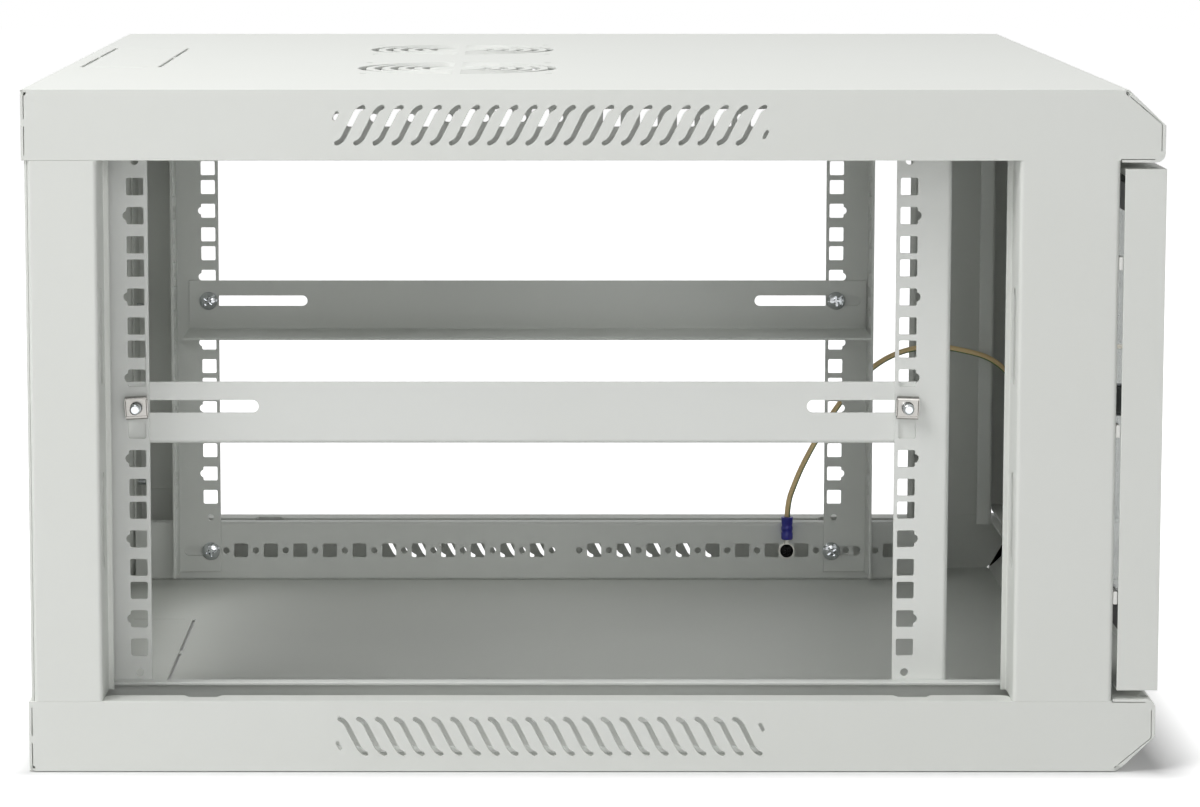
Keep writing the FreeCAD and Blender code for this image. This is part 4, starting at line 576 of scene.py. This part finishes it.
# Hinges: steel pins in nickel plate. The upper one is fixed to the door. The lower one slides in a
# folded guide against a coil spring, and its finger bar is pulled to lift the door off.
eased("upper_hinge_pin", "door", 0.0004, nickel, 3)
eased("lower_hinge_pin", "hinge_pin", 0.0002, nickel, 2)
eased("pin_guide", "door", 0.0003, zinc)
coil_low, coil_high = 0.0478, 0.0955
coil_middle = (0.2905, -0.2974)
coil_radius, coil_wire = 0.004, 0.0005
coil_points = []
coil_turns, end_turns, steps = 8, 0.75, 20
for step in range(int((coil_turns + 2 * end_turns) * steps) + 1):
    turned = step / steps
    rise = min(max((turned - end_turns) / coil_turns, 0), 1)
    angle = 2 * math.pi * turned
    coil_points.append(Vector((coil_middle[0] + coil_radius * math.cos(angle),
                               coil_middle[1] + coil_radius * math.sin(angle),
                               coil_low + rise * (coil_high - coil_low))))
spring = swept("hinge_spring_coil", coil_points, coil_wire, 8)
spring.data.materials.append(plated("spring_steel", (182, 182, 180), 0.28, 2000))
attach(spring, "door")
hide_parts("hinge_spring")
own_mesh(spring)

# Door bumpers: small pads of white nylon, pressed into holes of the front post. The door closes
# against them.
nylon = moulded("nylon", (232, 232, 228), 0.4, 900, 0.1)
eased("door_bumpers", "cabinet", 0.0007, nylon, 4)

# Earth bond: a ring terminal at each end of the wire, under a black zinc bolt on the strut and under
# the nut of the door's stud. A blue vinyl sleeve covers each crimped barrel.
black_zinc = plated("black_zinc", (38, 37, 37), 0.34, 900)
bolt_place = (0.252, -0.14025, 0.0216)
on_places("earth_bolt_black", screw_tree, [(bolt_place, (-1, 0, 0), 20)], black_zinc,
          "cabinet", "earth_bolt",
          {"Head Radius": 0.0044, "Head Height": 0.004, "Shank Radius": 0.0022, "Length": 0.0075,
           "Recess Length": 0.0052, "Recess Width": 0.0011, "Recess Depth": 0.0022})
eased("earth_stud", "door", 0.0004, zinc, 3)
tin = plated("tin_plate", (222, 220, 214), 0.42, 600)
eased("cabinet_terminal", "cabinet", 0.0002, tin)
eased("door_terminal", "door", 0.0002, tin)

vinyl, tree, surface = shader("sleeve_vinyl")
surface.inputs["Base Color"].default_value = colour(52, 53, 158)
surface.inputs["Roughness"].default_value = 0.3
surface.inputs["Subsurface Weight"].default_value = 0.15
surface.inputs["Subsurface Scale"].default_value = 0.001
sleeve_profile = [
    (0.0020, 0.0148), (0.0031, 0.0154), (0.0039, 0.0155), (0.0041, 0.0152), (0.0040, 0.0145),
    (0.0038, 0.0134), (0.00375, 0.0112), (0.0036, 0.0104), (0.00355, 0.0094), (0.00385, 0.0086),
    (0.00385, 0.0070), (0.0036, 0.0062), (0.00355, 0.0052), (0.0039, 0.0044), (0.0039, 0.0012),
    (0.0038, 0.0005), (0.0034, 0.0001), (0.0016, 0.0),
]


def turned_sleeve(name, foot, body, replaced):
    """A sleeve turned about its upright axis from the profile, narrower in rings where it was crimped."""
    mesh = bpy.data.meshes.new(name)
    sides = 28
    vertices = [(foot[0] + radius * math.cos(2 * math.pi * side / sides),
                 foot[1] + radius * math.sin(2 * math.pi * side / sides), foot[2] + height)
                for radius, height in sleeve_profile for side in range(sides)]
    faces = [(ring * sides + side, (ring + 1) * sides + side, (ring + 1) * sides + (side + 1) % sides,
              ring * sides + (side + 1) % sides)
             for ring in range(len(sleeve_profile) - 1) for side in range(sides)]
    mesh.from_pydata(vertices, [], faces)
    mesh.shade_smooth()
    mesh.materials.append(vinyl)
    piece = bpy.data.objects.new(name, mesh)
    bpy.context.scene.collection.objects.link(piece)
    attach(piece, body)
    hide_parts(replaced)


turned_sleeve("cabinet_sleeve_vinyl", (0.2489, -0.14025, 0.0298), "cabinet", "cabinet_sleeve")
turned_sleeve("door_sleeve_vinyl", (0.255, -0.294, 0.105), "door", "door_sleeve")

# Floor: a pale studio floor that glows a little more away from the cabinet, so that it runs into the
# white room. Close to the cabinet its glow is weak, which paints a faint shade band all round the
# cabinet's foot, on top of the lamps' own shadow there.
floor_mesh = bpy.data.meshes.new("studio_floor")
floor_reach, floor_height = 8, -0.0005
floor_corners = ((-1, -1), (1, -1), (1, 1), (-1, 1))
floor_mesh.from_pydata([(x * floor_reach, y * floor_reach, floor_height) for x, y in floor_corners],
                       [], [(0, 1, 2, 3)])
floor = bpy.data.objects.new("studio_floor", floor_mesh)
bpy.context.scene.collection.objects.link(floor)
pale = bpy.data.materials.new("studio_floor")
pale.use_nodes = True
tree = pale.node_tree
tree.nodes.clear()


def seen_ray(tree):
    """1 for what the camera sees itself, in a reflection or through glass."""
    ray = put(tree, "ShaderNodeLightPath")
    first = put(tree, "ShaderNodeMath", {0: ray.outputs["Is Camera Ray"], 1: ray.outputs["Is Glossy Ray"]},
                operation="MAXIMUM")
    return put(tree, "ShaderNodeMath", {0: first.outputs[0], 1: ray.outputs["Is Transmission Ray"]},
               operation="MAXIMUM").outputs[0]


footprint = (0.3, 0.304, 1)
shadow_reach = 0.04
place = put(tree, "ShaderNodeTexCoord").outputs["Object"]
apart = put(tree, "ShaderNodeVectorMath", {0: place}, operation="ABSOLUTE")
apart = put(tree, "ShaderNodeVectorMath", {0: apart.outputs[0], 1: footprint}, operation="SUBTRACT")
apart = put(tree, "ShaderNodeVectorMath", {0: apart.outputs[0], 1: (0, 0, 0)}, operation="MAXIMUM")
apart = put(tree, "ShaderNodeVectorMath", {0: apart.outputs[0]}, operation="LENGTH")
# The glow is weakest at the footprint and full beyond shadow_reach: this dip paints a faint shade band
# around the foot.
painted_foot_shade_glow = put(tree, "ShaderNodeMapRange", {"Value": apart.outputs["Value"], "From Max": shadow_reach,
                                        "To Min": 0.05, "To Max": 0.9})
matt = put(tree, "ShaderNodeBsdfDiffuse", {"Color": (0.76, 0.76, 0.76, 1)})
light = put(tree, "ShaderNodeEmission", {"Strength": painted_foot_shade_glow.outputs[0]})
together = put(tree, "ShaderNodeAddShader", {0: matt.outputs[0], 1: light.outputs[0]})
pick = put(tree, "ShaderNodeMixShader", {0: seen_ray(tree), 1: matt.outputs[0], 2: together.outputs[0]})
put(tree, "ShaderNodeOutputMaterial", {"Surface": pick.outputs[0]})
floor_mesh.materials.append(pale)

# Room and lamps: a white room with a plain level of light. Large square lamps stand above, over the
# camera's side, low at the open side, and in front of the far corner.
world = bpy.data.worlds.new("studio")
bpy.context.scene.world = world
world.use_nodes = True
tree = world.node_tree
tree.nodes.clear()
room = put(tree, "ShaderNodeBackground", {"Color": (1, 1, 1, 1), "Strength": 0.13})
seen = put(tree, "ShaderNodeBackground", {"Color": (1, 1, 1, 1), "Strength": 1.0})
pick = put(tree, "ShaderNodeMixShader", {0: seen_ray(tree), 1: room.outputs[0], 2: seen.outputs[0]})
put(tree, "ShaderNodeOutputWorld", {"Surface": pick.outputs[0]})


def softbox(name, place, target, width, power, mirrored=True):
    """A square studio lamp that faces the cabinet, and may be kept out of its gloss."""
    lamp = bpy.data.lights.new(name, "AREA")
    lamp.shape = "RECTANGLE"
    lamp.size = width
    lamp.size_y = width
    lamp.energy = power
    holder = bpy.data.objects.new(name, lamp)
    bpy.context.scene.collection.objects.link(holder)
    holder.location = place
    holder.visible_glossy = mirrored
    holder.rotation_euler = (Vector(target) - Vector(place)).to_track_quat("-Z", "Y").to_euler()


softbox("top_light", (-0.4, 0.9, 2.4), (0, 0, 0.2), 1.8, 34)
softbox("camera_side_light", (-1.5, 1.5, 1.9), (0, 0.05, 0.15), 1.2, 26)
softbox("low_side_light", (-2.8, -0.35, 0.85), (0, 0.05, 0.15), 1.6, 16)
softbox("far_front_light", (1.6, -2.2, 1.1), (0, 0, 0.15), 1.6, 17, mirrored=False)

bpy.context.scene.view_settings.view_transform = "Standard"
